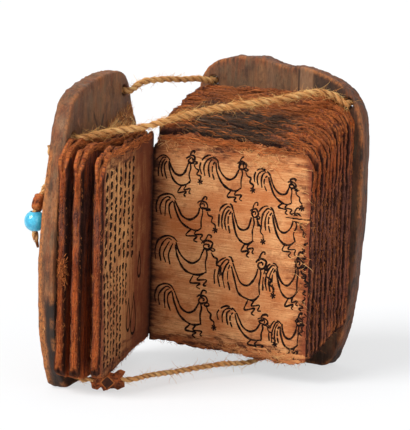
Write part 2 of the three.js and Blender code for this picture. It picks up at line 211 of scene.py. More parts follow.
def read_vectors(items, field):
    values = np.zeros(len(items) * 3)
    items.foreach_get(field, values)
    return values.reshape(-1, 3)


def add_mesh(name, material, verts, faces, grain, look):
    """A smooth piece from millimetre points; grain is the texture's place and look four masks."""
    mesh = plain_mesh(name, metres(verts), [tuple(f) for f in faces])
    mesh.validate()
    set_points(mesh, "grain", "FLOAT_VECTOR", "vector", grain)
    set_points(mesh, "look", "FLOAT_COLOR", "color", look)
    mesh.polygons.foreach_set("use_smooth", [True] * len(mesh.polygons))
    mesh.materials.append(material)
    mesh.update()
    return add_object(name, mesh)


def grid_faces(rows, columns, offset=0, wrap=False):
    """Quads of a grid of points stored row by row; wrap joins the last column to the first."""
    r, c = np.meshgrid(np.arange(rows - 1), np.arange(columns if wrap else columns - 1), indexing="ij")
    d = (c + 1) % columns
    quads = np.stack([r * columns + c, r * columns + d, (r + 1) * columns + d, (r + 1) * columns + c], axis=-1)
    return (quads.reshape(-1, 4) + offset).tolist()


def capped_faces(rows, around):
    """A closed grid whose two poles are stored after its rows."""
    first, last = rows * around, (rows - 1) * around
    return (grid_faces(rows, around, wrap=True) + [(first, (c + 1) % around, c) for c in range(around)]
            + [(first + 1, last + c, last + (c + 1) % around) for c in range(around)])


def flipped(faces):
    return [face[::-1] for face in faces]


def place(piece, body, material_slot, *nodes):
    if body:
        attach(piece, body)
    if nodes:
        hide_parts(*nodes)
    return piece


class Gathered:
    """Collects small meshes that make one piece."""

    def __init__(self):
        self.verts, self.faces, self.grain, self.look, self.count = [], [], [], [], 0

    def add(self, verts, faces, grain, look):
        verts = np.asarray(verts, float).reshape(-1, 3)
        self.faces.extend([tuple(int(i) + self.count for i in face) for face in faces])
        self.verts.append(verts)
        self.grain.append(grain)
        self.look.append(np.broadcast_to(np.asarray(look, float), (len(verts), 4)))
        self.count += len(verts)

    def piece(self, name, material):
        return add_mesh(name, material, np.vstack(self.verts), self.faces, np.vstack(self.grain),
                        np.vstack(self.look))


# ---- Materials ----

def srgb(r, g, b):
    def linear(c):
        c /= 255
        return c / 12.92 if c <= 0.04045 else ((c + 0.055) / 1.055) ** 2.4
    return (linear(r), linear(g), linear(b), 1.0)


class Nodes:
    """Strings the nodes of one tree together."""

    def __init__(self, tree):
        self.tree = tree

    def node(self, kind, inputs={}, **settings):
        made = self.tree.nodes.new(kind)
        for key, value in settings.items():
            setattr(made, key, value)
        for key, value in inputs.items():
            self.feed(value, made.inputs[key])
        return made

    def feed(self, value, socket):
        if isinstance(value, bpy.types.NodeSocket):
            self.tree.links.new(value, socket)
        elif value is not None:
            socket.default_value = value

    def math(self, operation, a, b):
        return self.node("ShaderNodeMath", {0: a, 1: b}, operation=operation).outputs["Value"]


class Paint(Nodes):
    """One material. A tone is a socket or three sRGB numbers, and a texture a socket or a noise's arguments."""

    def __init__(self, name, roughness, specular=0.5, **sockets):
        self.material = bpy.data.materials.new(name)
        self.material.use_nodes = True
        super().__init__(self.material.node_tree)
        self.shader = self.tree.nodes["Principled BSDF"]
        for socket, value in {"Roughness": roughness, "Specular IOR Level": specular, **sockets}.items():
            self.shader.inputs[socket.replace("_", " ")].default_value = value

    def attribute(self, name):
        return self.node("ShaderNodeAttribute", attribute_name=name, attribute_type="GEOMETRY")

    def masks(self, name="look"):
        source = self.attribute(name)
        split = self.node("ShaderNodeSeparateColor", {"Color": source.outputs["Color"]})
        return (*split.outputs[:3], source.outputs["Alpha"])

    def noise(self, scale, detail=4.0, roughness=0.55, distortion=0.0):
        mapping = self.node("ShaderNodeMapping", {"Scale": scale, "Vector": self.attribute("grain").outputs["Vector"]})
        return self.node("ShaderNodeTexNoise", {
            "Vector": mapping.outputs["Vector"], "Scale": 1.0, "Detail": detail, "Roughness": roughness,
            "Distortion": distortion}).outputs["Fac"]

    def span(self, texture, low, high, to_high=1.0, to_low=0.0):
        """Runs smoothly from to_low to to_high while the texture runs from low to high."""
        value = self.noise(*texture) if isinstance(texture, tuple) else texture
        return self.node("ShaderNodeMapRange", {
            "Value": value, "From Min": low, "From Max": high, "To Min": to_low, "To Max": to_high},
            interpolation_type="SMOOTHSTEP").outputs["Result"]

    def times(self, a, b):
        return self.math("MULTIPLY", a, b)

    def mix(self, factor, a, b):
        a, b = (srgb(*tone) if isinstance(tone, tuple) else tone for tone in (a, b))
        return self.node("ShaderNodeMix", {"Factor": factor, 6: a, 7: b}, data_type="RGBA").outputs[2]

    def start(self, texture, low, high, a, b):
        self.color = self.mix(self.span(texture, low, high), a, b)

    def over(self, factor, tone):
        """Lays a tone over the colour so far."""
        self.color = self.mix(factor, self.color, tone)

    def patch(self, texture, low, high, amount, tone, mask=None):
        """Lays a tone where a texture is high, or low if low and high are swapped, and only where the mask is."""
        share = self.span(texture, low, high, amount)
        self.over(share if mask is None else self.times(mask, share), tone)

    def finish(self, *bumps, roughness=None):
        """Bumps are (height, millimetres, strength), each over the one before."""
        normal = None
        for height, distance, strength in bumps:
            normal = self.node("ShaderNodeBump", {"Distance": distance * MM, "Strength": strength, "Height": height,
                                                  "Normal": normal}).outputs["Normal"]
        for value, socket in ((self.color, "Base Color"), (roughness, "Roughness"), (normal, "Normal")):
            self.feed(value, self.shader.inputs[socket])
        return self.material


def wood_material():
    """Old carved wood: upright grain, dark handled skin and painted shade, red-brown wear at the rim, a painted sheen
    and a painted edge highlight.
    """
    p = Paint("board_wood", 0.6, 0.25)
    rim, pale, gold, dark = p.masks()
    grain = p.noise((1.1, 1.1, 0.045), 5, 0.66, 0.6)
    broad = p.noise((0.07, 0.07, 0.03), 3, 0.6)
    fine = p.noise((3.4, 3.4, 0.3), 4, 0.7)
    specks = p.noise((1.6, 1.6, 0.7), 4, 0.7)
    patches = p.noise((0.3, 0.3, 0.24), 5, 0.72)
    p.start(broad, 0.36, 0.66, (106, 67, 43), (160, 112, 74))
    p.patch(grain, 0.4, 0.66, 0.5, (70, 45, 33))
    p.patch(patches, 0.52, 0.66, 0.6, (172, 116, 78))
    p.patch(patches, 0.47, 0.34, 0.6, (76, 54, 42))
    p.patch(((0.11, 0.11, 0.07), 4, 0.6), 0.46, 0.62, 0.65, (122, 96, 70))
    p.patch(((0.21, 0.21, 0.12), 5, 0.7), 0.5, 0.64, 0.6, (72, 48, 36))
    p.patch(((0.3, 0.3, 0.05), 5, 0.65), 0.5, 0.68, 0.7, (140, 78, 44))
    p.patch(((0.8, 0.8, 0.09), 5, 0.7), 0.4, 0.6, 0.8, (160, 84, 44), rim)
    p.patch(((0.5, 0.5, 0.11), 5, 0.65), 0.48, 0.62, 0.85, (46, 33, 27), rim)
    p.patch(fine, 0.5, 0.72, 0.6, (40, 28, 23))
    p.patch(specks, 0.56, 0.7, 0.5, (168, 122, 84))
    # pale: pale wood on the back board, a painted sheen on the front board.
    p.over(p.times(pale, p.span(fine, 0.62, 0.36, 0.9, 0.35)), (164, 124, 92))
    # dark: dark skin and cracks, with painted shade near the floor and between the front board and its leaves.
    p.over(p.times(dark, 0.92), (42, 36, 32))
    # gold: golden wear and fibre, with a painted highlight along the inner faces' edges.
    p.patch(specks, 0.38, 0.56, 1.0, (192, 118, 62), gold)
    return p.finish((grain, 0.5, 0.9), (fine, 0.3, 0.9), roughness=p.span(broad, 0.3, 0.7, 0.74, 0.5))


def bark_material():
    """Leaf edges: maroon felted folds, rust where they are worn, painted shade between the leaves and inside the folds,
    painted light on the front leaves' panels and painted highlights on the folds' shoulders.
    """
    p = Paint("bark_leaf", 0.93, 0.12)
    _, rim, inside_shade, tone = p.masks()
    weather, rust, painted_shade_and_light, _ = p.masks("wear_and_shade")
    felt = p.noise((1.5, 1.5, 0.9), 5, 0.72)
    streak = p.noise((0.8, 1.7, 0.12), 5, 0.7)
    maroon, orange, painted_light_tone = (p.mix(p.span(streak, 0.38, 0.62), *tones) for tones in (
        ((76, 43, 39), (154, 92, 73)), ((134, 56, 28), (214, 104, 46)), ((150, 92, 60), (214, 142, 92))))
    rusty = p.math("ADD", p.times(rust, 0.66), p.span(((0.35, 0.9, 0.09), 5, 0.7, 0.5), 0.3, 0.7, 0.32, -0.55))
    p.start(rusty, 0.1, 0.8, maroon, orange)
    p.patch(((0.1, 0.3, 0.06), 4, 0.6, 0.4), 0.45, 0.7, 0.5, (88, 52, 40))
    p.patch(tone, 0.2, 1.0, 0.4, (80, 44, 35))
    # rim: the torn edges' orange, with painted highlights along the folds' shoulders.
    p.patch(((0.8, 0.8, 0.5), 3, 0.6), 0.38, 0.6, 0.8, (206, 116, 58), rim)
    p.patch(((0.05, 0.25, 0.4), 5, 0.65), 0.3, 0.48, 0.95, (56, 50, 44), weather)
    p.patch(((2.3, 2.3, 1.5), 3, 0.7), 0.55, 0.7, 0.6, (190, 128, 88))
    p.patch(felt, 0.5, 0.68, 0.85, (34, 20, 17))
    # Painted shade between the leaves and in the folds' creases; where the mask is below zero, painted light on the
    # front leaves' panels.
    p.over(p.times(painted_shade_and_light, 0.92), (40, 23, 19))
    p.over(p.times(painted_shade_and_light, -1.0), painted_light_tone)
    # Painted shade inside the folded strip and on the gutter fold.
    p.patch(inside_shade, 0.0, 1.0, 0.8, (38, 22, 18))
    return p.finish((felt, 1.0, 1.0), (streak, 0.7, 1.0))


def page_material(name, light, deep, edge, gutter_reach, gutter_tone, upright=False):
    """Smoothed writing side: fine fibre across the page, worn red-brown at its margins, darker towards the gutter with
    painted shade nearest it.
    """
    p = Paint(name, 0.82, 0.15)
    fold, rim, inside_shade, _ = p.masks()
    x, _, z = p.node("ShaderNodeSeparateXYZ", {"Vector": p.attribute("grain").outputs["Vector"]}).outputs
    lines = p.noise((0.05, 1.0, 2.4), 5, 0.7)
    hairs = p.noise((0.09, 1.0, 4.2), 3, 0.7, 0.6)
    felt = p.noise((1.3, 1.3, 1.6), 5, 0.7)
    p.start(((0.06, 0.3, 0.09), 4, 0.55), 0.34, 0.66, light, deep)
    p.patch(lines, 0.4, 0.64, 0.75, deep)
    p.patch(((0.11, 0.4, 0.15), 5, 0.7), 0.5, 0.66, 0.55, edge)
    p.patch(felt, 0.52, 0.7, 0.65, edge)
    p.patch(hairs, 0.56, 0.7, 0.6, edge)
    p.patch(hairs, 0.42, 0.3, 0.7, (250, 200, 140))
    if upright:
        bands = p.noise((0.5, 1.0, 0.02), 4, 0.65)
        p.patch(bands, 0.46, 0.56, 0.75, light)
        p.patch(bands, 0.46, 0.34, 0.7, edge)
        p.patch(z, 62.0, 24.0, 0.45, (134, 74, 44))
        p.patch(((0.13, 0.4, 0.07), 5, 0.7), 0.4, 0.56, 0.9, (116, 50, 27), p.span(x, 44.0, 20.0))
    ragged = p.span(((0.07, 0.3, 0.35), 5, 0.75), 0.25, 0.75, 8.0, -8.0)
    margin = rim
    for axis, low, high in ((x, 68.0, 80.0), (z, 91.0, 101.0), (z, 18.0, 9.0)):
        margin = p.math("MAXIMUM", margin, p.span(p.math("ADD", axis, ragged), low, high))
    p.over(p.times(margin, 0.8), edge)
    p.patch(((0.16, 0.5, 0.5), 5, 0.7), 0.44, 0.58, 0.95, (76, 42, 30), margin)
    near = p.math("ADD", x, p.times(ragged, 0.4))
    # Darker towards the gutter over gutter_reach; the darkest strip nearest the gutter is painted shade in its crease.
    p.patch(near, gutter_reach, 0.0, 0.95, gutter_tone)
    p.patch(near, min(gutter_reach * 0.35, 7.0), -1.0, 0.85, (48, 28, 20))
    p.over(p.times(fold, 0.8), (136, 66, 42))
    # Painted shade inside the folded strip.
    p.over(inside_shade, (48, 28, 22))
    return p.finish((lines, 0.3, 0.9), (felt, 0.4, 0.9))


def straw_material():
    """Twisted plant fibre: golden streaks along the lay, with painted shade in the grooves between the plies."""
    p = Paint("straw_cord", 0.8, 0.2)
    streak = p.noise((3.4, 3.4, 0.26), 4, 0.66)
    p.start(streak, 0.38, 0.62, (216, 130, 66), (255, 216, 146))
    p.patch(((0.5, 0.5, 0.09), 3), 0.45, 0.7, 0.5, (232, 152, 82))
    # Painted shade in the grooves between the plies, from the look's first channel.
    p.over(p.times(p.masks()[0], 0.9), (134, 70, 32))
    return p.finish((streak, 0.6, 1.0))


def fibre_material(name, pale, deep):
    """Loose fibres, each its own tone."""
    p = Paint(name, 0.85, 0.15)
    grey, _, tone, _ = p.masks()
    p.color = p.mix(grey, p.mix(tone, deep, pale), (88, 76, 64))
    return p.finish()


def hide_material():
    p = Paint("folded_hide", 0.7, 0.15)
    edge, dark, _, _ = p.masks()
    crease = p.noise((0.6, 0.6, 0.6), 5, 0.65, 0.5)
    p.start(crease, 0.36, 0.62, (88, 42, 24), (178, 92, 46))
    p.over(p.times(dark, 0.85), (52, 33, 26))
    p.over(p.times(edge, 0.7), (208, 122, 64))
    return p.finish((crease, 0.8, 1.0))


def bead_material():
    """Old trade-bead glass: opaque turquoise with faint clouds and pits."""
    p = Paint("bead_glass", 0.16, Coat_Weight=0.6, Coat_Roughness=0.06)
    p.start(((0.5, 0.5, 0.5), 3), 0.35, 0.65, (38, 160, 198), (70, 192, 222))
    return p.finish((p.noise((2.6, 2.6, 2.6), 2), 0.05, 0.4))


def ink_material():
    p = Paint("ink", 0.9, 0.05)
    thin = p.noise((1.4, 1.4, 1.4), 4, 0.65)
    p.start(thin, 0.51, 0.68, (25, 18, 17), (92, 58, 40))
    return p.finish((thin, 0.1, 0.6))


# ---- Camera, light and floor, in metres ----

CAMERA_AXES = ((0.86767, 0.49622, 0.03046), (-0.10948, 0.13096, 0.98532), (0.48494, -0.85827, 0.16796))
CAMERA_AT = (0.50682, -0.89115, 0.24506)
LIGHT_TARGET = (0, 0, 0.06)
WORLD_COLOR, WORLD_STRENGTH = (0.97, 0.985, 1.0, 1), 0.56
FLOOR_HALF, FLOOR_COLOR, FLOOR_WHITENING = 6.0, (0.93, 0.94, 0.955, 1), 0.6


def make_camera():
    """The photograph's view, fitted to its outlines; the long side of the picture is 36 mm."""
    data = bpy.data.cameras.new("camera")
    data.lens, data.sensor_width = 205.28, 36.0
    data.clip_start, data.clip_end = 0.05, 20.0
    camera = add_object("camera", data)
    camera.matrix_world = Matrix([[*row] for row in zip(*CAMERA_AXES, CAMERA_AT)] + [[0, 0, 0, 1]])
    bpy.context.scene.camera = camera


def lamp(kind, name, energy, location, **settings):
    data = bpy.data.lights.new(name, kind)
    for key, value in {"energy": energy, **settings}.items():
        setattr(data, key, value)
    made = add_object(name, data)
    made.location = location
    made.rotation_euler = (Vector(LIGHT_TARGET) - Vector(location)).to_track_quat("-Z", "Y").to_euler()


def camera_white(nodes, shader, output, amount, *rays):
    """Mixes plain white of strength 1 into what the given kinds of ray see."""
    path = nodes.node("ShaderNodeLightPath")
    seen = path.outputs[rays[0]]
    for ray in rays[1:]:
        seen = nodes.math("MAXIMUM", seen, path.outputs[ray])
    white = nodes.node("ShaderNodeEmission", {"Strength": 1.0})
    mix = nodes.node("ShaderNodeMixShader", {0: nodes.math("MULTIPLY", seen, amount), 1: shader, 2: white.outputs[0]})
    nodes.feed(mix.outputs[0], output)


def make_studio():
    world = bpy.data.worlds.new("studio")
    world.use_nodes = True
    nodes = Nodes(world.node_tree)
    light = nodes.tree.nodes["Background"]
    light.inputs["Color"].default_value = WORLD_COLOR
    light.inputs["Strength"].default_value = WORLD_STRENGTH
    camera_white(nodes, light.outputs[0], nodes.tree.nodes["World Output"].inputs["Surface"], 1.0,
                 "Is Camera Ray", "Is Glossy Ray", "Is Transmission Ray")
    bpy.context.scene.world = world
    bpy.context.scene.view_settings.view_transform = "Standard"
    lamp("SUN", "key", 2.6, (-0.5, -0.85, 0.95), angle=0.62)
    lamp("AREA", "fill", 1.3, (0.9, -0.7, 0.5), size=0.8)
    h = FLOOR_HALF
    mesh = plain_mesh("floor", [(-h, -h, 0), (h, -h, 0), (h, h, 0), (-h, h, 0)], [(0, 1, 2, 3)])
    paint = Paint("floor", 0.9, 0.0)
    paint.shader.inputs["Base Color"].default_value = FLOOR_COLOR
    camera_white(paint, paint.shader.outputs[0], paint.tree.nodes["Material Output"].inputs["Surface"],
                 FLOOR_WHITENING, "Is Camera Ray")
    mesh.materials.append(paint.material)
    add_object("floor", mesh)


make_camera()
make_studio()

WOOD = wood_material()
BARK = bark_material()
PAGE = page_material("drawing_page", (240, 180, 122), (202, 122, 70), (160, 84, 46), 10.0, (114, 63, 39))
TEXT_PAGE = page_material("text_page", (222, 164, 104), (158, 98, 58), (124, 66, 40), 52.0, (112, 58, 36), True)
STRAW = straw_material()
STRAW_FIBRE = fibre_material("straw_fibre", (255, 212, 136), (214, 132, 62))
BARK_FIBRE = fibre_material("bark_fibre", (240, 142, 76), (96, 48, 32))
GOLD_FIBRE = fibre_material("gold_fibre", (248, 196, 130), (198, 118, 62))
HIDE = hide_material()
GLASS = bead_material()
INK = ink_material()
SCRAP = page_material("torn_scrap", (224, 156, 98), (180, 106, 62), (140, 74, 44), 0.5, (150, 80, 46))


# ---- Places ----

class Place:
    """A flat piece's own frame: x from the spine to the fore edge, y across it and z up."""

    def __init__(self, origin, degrees, side=1):
        turn = np.radians(degrees)
        self.origin = part_point(*origin)
        self.along = np.array([np.cos(turn), np.sin(turn), 0])
        self.across = np.array([-np.sin(turn), np.cos(turn), 0]) * side

    def at(self, x, y, z):
        x, y, z = np.broadcast_arrays(*[np.asarray(v, float) for v in (x, y, z)])
        return self.origin + x[..., None] * self.along + y[..., None] * self.across + z[..., None] * UP


# The boards' y runs outwards from their inner face
BACK_BOARD = Place((0, BACK_SPINE_DEPTH, 0), -BACK_FAN)
front_turn = np.radians(FRONT_ANGLES[-1])
FRONT_BOARD = Place(
    (-FRONT_SPINE_DEPTH - 4 * np.cos(front_turn), 4 * np.sin(front_turn), 0), -FRONT_ANGLES[-1], -1)


# ---- Cords ----

CARRY_LAY, FOOT_LAY, BEAD_LAY = 8.4, 7.0, 8.0
ROPE_STEP, ROPE_AROUND = 0.42, 28
HAIR_SEGMENTS, HAIR_SIDES = 5, 3
BEND_INSET = 12


def rope_frames(line):
    """Directions along a line and two normals that turn as little as they can."""
    along = np.gradient(line, axis=0)
    along /= np.linalg.norm(along, axis=1)[:, None]
    side = np.cross(along[0], UP)
    if np.linalg.norm(side) < 0.2:
        side = np.cross(along[0], (1.0, 0, 0))
    sides = []
    for direction in along:
        side = side - direction * (side @ direction)
        side = side / np.linalg.norm(side)
        sides.append(side)
    sides = np.array(sides)
    return along, sides, np.cross(along, sides)


def rope_mesh(line, diameter, lay, seed, taper=0.0):
    """Two plies laid round each other, with raised fibres; returns points, faces, grain and look."""
    count, around = max(8, int(length_of(line) / ROPE_STEP)), ROPE_AROUND
    line = evenly(line, count)
    _, side, over = rope_frames(line)
    gone = np.linspace(0, length_of(line), count)
    theta = np.linspace(0, 2 * np.pi, around, endpoint=False)
    turn = theta[None, :] - 2 * np.pi * gone[:, None] / lay + 1.1 * ripple(seed, gone / 9, 0, seed)[:, None]
    radius = diameter / 2
    ply = radius * (0.31 * np.abs(np.cos(turn)) + np.sqrt(0.69 ** 2 - (0.31 * np.sin(turn)) ** 2))
    ridge = ripple(seed + 3, 3.2 * np.cos(turn) + 5, 3.2 * np.sin(turn), gone[:, None] / 4.5)
    ply *= 0.92 + 0.06 * ripple(seed + 5, gone / 3.4, 0, seed)[:, None] + 0.07 * ridge
    if taper:
        ply *= (0.35 + 0.65 * smoothstep(0, taper, length_of(line) - gone))[:, None]
    points = (line[:, None, :] + ply[..., None]
              * (np.cos(theta)[None, :, None] * side[:, None, :] + np.sin(theta)[None, :, None] * over[:, None, :]))
    verts = np.vstack([points.reshape(-1, 3), line[0], line[-1]])
    faces = flipped(grid_faces(count, around, wrap=True))
    first, base = count * around, (count - 1) * around
    for c in range(around):
        d = (c + 1) % around
        faces += [(first, c, d), (first + 1, base + d, base + c)]
    grain = stack(radius * np.cos(turn) + 7 * seed, radius * np.sin(turn), gone[:, None] * 0.8)
    # The look's first channel is painted shade in the grooves between the plies, full at the end caps.
    look = stack(smoothstep(0.88, 0.52, ply / radius), 0, 0, 1)
    return (verts, faces, np.vstack([grain.reshape(-1, 3), grain[0, :1], grain[-1, :1]]),
            np.vstack([look.reshape(-1, 4), [[1, 0, 0, 1]] * 2]))


def hair_mesh(roots, heads, bends, radii, tones, seed, grey=0.0):
    """Thin three-sided fibres from roots towards heads, each with its own bend."""
    rng = np.random.default_rng(seed)
    roots, heads, bends = (np.asarray(v, float) for v in (roots, heads, bends))
    many = len(roots)
    t = np.linspace(0, 1, HAIR_SEGMENTS + 1)
    wave = rng.normal(0, 0.06, (many, 1, 3)) * np.sin(t * np.pi * 2)[None, :, None]
    line = (roots[:, None, :] + heads[:, None, :] * t[None, :, None] + bends[:, None, :] * (t ** 2)[None, :, None]
            + wave * np.linalg.norm(heads, axis=1)[:, None, None])
    along = np.gradient(line, axis=1)
    along /= np.linalg.norm(along, axis=2)[..., None] + 1e-9
    side = np.cross(along, np.where(np.abs(along[..., 2:3]) < 0.8, UP, (1.0, 0, 0)))
    side /= np.linalg.norm(side, axis=2)[..., None]
    over = np.cross(along, side)
    width = np.asarray(radii)[:, None] * (1 - 0.7 * t)[None, :]
    angles = np.arange(HAIR_SIDES) * 2 * np.pi / HAIR_SIDES
    ring = (line[:, :, None, :] + width[..., None, None]
            * (np.cos(angles)[:, None] * side[:, :, None, :] + np.sin(angles)[:, None] * over[:, :, None, :]))
    verts = ring.reshape(-1, 3)
    verts[:, 2] = np.maximum(verts[:, 2], 0.02)
    size = (HAIR_SEGMENTS + 1) * HAIR_SIDES
    one = flipped(grid_faces(HAIR_SEGMENTS + 1, HAIR_SIDES, wrap=True)) + [(0, 1, 2), (size - 1, size - 2, size - 3)]
    faces = [tuple(i + k * size for i in face) for k in range(many) for face in one]
    look = np.zeros((many, size, 4))
    for k, values in ((0, grey), (2, tones), (3, 1)):
        look[..., k] = np.broadcast_to(values, (many,))[:, None]
    return verts, faces, verts, look.reshape(-1, 4)


def fuzz_along(line, diameter, per_mm, reach, seed):
    """Stray fibres that lie along a cord and lift off it."""
    rng = np.random.default_rng(seed)
    many = max(6, int(length_of(line) * per_mm))
    line = evenly(line, 400)
    along, side, over = rope_frames(line)
    at = rng.integers(2, 398, many)
    angle = rng.uniform(0, 2 * np.pi, many)
    outward = np.cos(angle)[:, None] * side[at] + np.sin(angle)[:, None] * over[at]
    round_it = -np.sin(angle)[:, None] * side[at] + np.cos(angle)[:, None] * over[at]
    size = (rng.uniform(0.3, 1.0, many) ** 1.6)[:, None] * reach
    way = rng.choice([-1, 1], many)[:, None]
    heads = (along[at] * way * 0.95 + round_it * 0.4 * way + outward * 0.22) * size
    bends = (outward * rng.normal(0.15, 0.4, (many, 1)) + round_it * 0.4) * size
    return hair_mesh(line[at] + outward * diameter * 0.42, heads, bends, rng.uniform(0.06, 0.14, many),
                     rng.uniform(0, 1, many), seed)


def over_opening(start, end):
    """The front cover, the back cover and, in metres, the stretch between two points over the opening."""
    return "front_cover", "back_cover", metres(start), metres(end)


def make_cord(name, line, diameter, lay, seed, nodes, body=None, bend=None, fuzz=(1.4, 2.6), taper=0.0):
    """A twisted cord and its stray fibres, which ride one body if one is given; a bend only bakes their transform."""
    rope = add_mesh(name, STRAW, *rope_mesh(line, diameter, lay, seed, taper))
    loose = add_mesh(name + "_fibres", STRAW_FIBRE, *fuzz_along(line, diameter, *fuzz, seed + 50))
    for piece in (rope, loose):
        if bend:
            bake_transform(piece)
        place(piece, body, "straw")
    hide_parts(*nodes)
    return rope, loose


def declare_cord(rope, line, diameter, far_end, lay, *with_pieces):
    metres(line[0])
    length_of(line) * MM
    metres(line)


def leave_hole(board, hole):
    return [board.at(hole[0], 0, hole[1]), board.at(hole[0], -2.4, hole[1])]


def held_line(board, start, end):
    """Through one hole, along the outer face and back through the other."""
    start, end = np.array(start), np.array(end)
    direction = (end - start) / np.linalg.norm(end - start)

    def turn(hole, sign):
        made = []
        for angle in (0, np.pi / 4, np.pi / 2):
            x, z = hole + direction * (sign * CORD_BEND * (1 - np.cos(angle)))
            made.append(board.at(x, CORD_LIFT - CORD_BEND + CORD_BEND * np.sin(angle), z))
        return made

    middle = [board.at(start[0] + (end[0] - start[0]) * f, CORD_LIFT, start[1] + (end[1] - start[1]) * f)
              for f in (0.2, 0.4, 0.6, 0.8)]
    return catmull_rom([board.at(start[0], TOUCH, start[1]), *turn(start, 1), *middle,
                        *turn(end, -1)[::-1], board.at(end[0], TOUCH, end[1])], 240)


FORE_LINE = catmull_rom([
    *leave_hole(FRONT_BOARD, FRONT_FORE_HOLE),
    *[part_point(*p) for p in (
        (6, -50, 107), (17.9, -35.2, 109.4), (25.8, -24.8, 112.8), (35.3, -12.2, 115.8), (45.3, 0.9, 117.7),
        (54, 12.4, 119.3), (60.5, 20.8, 121.2), (65.4, 27.4, 122), (69.6, 32.6, 120.6))],
    *leave_hole(BACK_BOARD, BACK_FORE_HOLE)[::-1]], 400)
SPINE_LINE = catmull_rom([
    *leave_hole(FRONT_BOARD, FRONT_SPINE_HOLE),
    *[part_point(*p) for p in ((-7.2, 1.6, 122.6), (-3.7, 12.4, 123.1), (-0.4, 24, 122.4), (2.6, 33, 122.2))],
    *leave_hole(BACK_BOARD, BACK_SPINE_HOLE)[::-1]], 240)

TOGGLE_WIDTH = 14.8
TOGGLE_TURN = np.radians(31.4)
TOGGLE_AT = (16.0, -59.0)
toggle_end = TOGGLE_WIDTH / 2 + TOUCH


def beside_toggle(x, z):
    return part_point(TOGGLE_AT[0] + x * np.cos(TOGGLE_TURN), TOGGLE_AT[1] + x * np.sin(TOGGLE_TURN), z)


under_leaf = between(BACK_BOTTOMS, 0.2) - TOUCH
FOOT_LINE = catmull_rom([
    FRONT_BOARD.at(64, -TOUCH, 5.6), FRONT_BOARD.at(64.4, -3, 5.4),
    *[beside_toggle(*p) for p in ((-toggle_end - 2.6, 5.2), (-toggle_end, 5.2), (0, 5.3), (toggle_end, 5.4),
                                  (toggle_end + 2.4, 5.6))],
    *[part_point(*p) for p in (
        (27, -42.6, 5.6), (31, -29, 5.1), (36.4, -15.6, 5.3), (41.7, -5.3, 5.6), (45.6, 2.2, 5), (49, 8.6, 5.6),
        (50.2, 11.4, under_leaf - 2.6), (50.2, 11.4, under_leaf))]], 400)
BEAD_LINE = catmull_rom([FRONT_BOARD.at(*p) for p in (
    (69.6, CORD_LIFT, 101.6), (68.2, CORD_LIFT, 96), (68.4, CORD_LIFT + 0.2, 90), (70.6, CORD_LIFT + 1.0, 85),
    (74.2, BEAD_LIFT - 0.9, 80.4), (76.4, BEAD_LIFT - 0.2, 76.6), (BEAD_FROM_SPINE, BEAD_LIFT, 73.4),
    (BEAD_FROM_SPINE, BEAD_LIFT, BEAD_Z), (BEAD_FROM_SPINE, BEAD_LIFT, 66.8),
    (BEAD_FROM_SPINE - 0.8, BEAD_LIFT - 1.2, 60))], 240)


def make_cords():
    """Makes all cords; returns the foot cord and the bead cord, whose hanging pieces are made later."""
    strands = [
        make_cord(name, line, CARRY_CORD_DIAMETER, CARRY_LAY, seed, [node],
                  bend=over_opening(line[BEND_INSET], line[-BEND_INSET]), fuzz=fuzz)
        for name, line, seed, node, fuzz in (
            ("fore_strand_cord", FORE_LINE, 1, "fore_strand", (8.0, 4.6)),
            ("spine_strand_cord", SPINE_LINE, 2, "spine_strand", (4.0, 3.6)))]
    foot = make_cord("foot_cord", FOOT_LINE, FOOT_CORD_DIAMETER, FOOT_LAY, 3, ["foot_cord_left", "foot_cord_right"],
                     bend=over_opening(beside_toggle(toggle_end + 1.5, 5.5), FOOT_LINE[-4]), fuzz=(3.0, 4.0))
    hung = make_cord("bead_cord", BEAD_LINE, CARRY_CORD_DIAMETER, BEAD_LAY, 4, ["bead_cord_upper", "bead_cord_lower"],
                     body="front_cover", taper=5.0)
    for name, board, holes, seed in (("back", BACK_BOARD, (BACK_SPINE_HOLE, BACK_FORE_HOLE), 20),
                                     ("front", FRONT_BOARD, (FRONT_SPINE_HOLE, FRONT_FORE_HOLE), 21)):
        make_cord(name + "_board_cord_run", held_line(board, *holes), CARRY_CORD_DIAMETER, CARRY_LAY, seed,
                  [name + "_board_cord"], body=name + "_cover")
    for (rope, loose), line in zip(strands, (FORE_LINE, SPINE_LINE)):
        declare_cord(rope, line, CARRY_CORD_DIAMETER, "object", "taut", loose)
    return foot, hung


foot_cord, bead_cord = make_cords()


# ---- Boards ----

BACK_OUTLINE = [
    (4, -0.8), (-0.6, 6), (-1.8, 30), (-1.8, 95), (-1.5, 121), (4.1, 128.5),
    (15, 132.2), (28, 133.2), (38.8, 131), (44.8, 130.4), (50, 130.8), (61.5, 128.4),
    (72, 123.8), (79.2, 115), (82, 102), (82.2, 84), (81.5, 61.6), (80, 41.5),
    (78, 25), (73, 8), (66, -0.8)]
FRONT_OUTLINE = [
    (6, -0.8), (0, 4), (-2.5, 25), (-2.8, 85), (-3.6, 103), (2, 111.2),
    (6, 121), (12, 126.8), (24, 128.6), (39, 127.8), (56, 124.8), (66.5, 120.4),
    (71.4, 112.4), (74.2, 105), (80.6, 80.6), (84.2, 60.4), (83.4, 39), (79.7, 18),
    (73, 4.4), (66, -0.8)]
BACK_CRACK = [(44.8, 117.4), (45.9, 140), (44.4, 140)]
CUT_BEYOND = 5
VOXEL, RELAX_ROUNDS = 0.62, 9


def prism(name, outline, low, high):
    """A plate between y = low and y = high from an outline of (x, z) points."""
    many = len(outline)
    verts = [(x, y, z) for y in (low, high) for x, z in outline]
    faces = [tuple(range(many)), tuple(range(2 * many - 1, many - 1, -1))]
    faces += [(i, i + many, (i + 1) % many + many, (i + 1) % many) for i in range(many)]
    return add_object(name, plain_mesh(name, verts, faces))


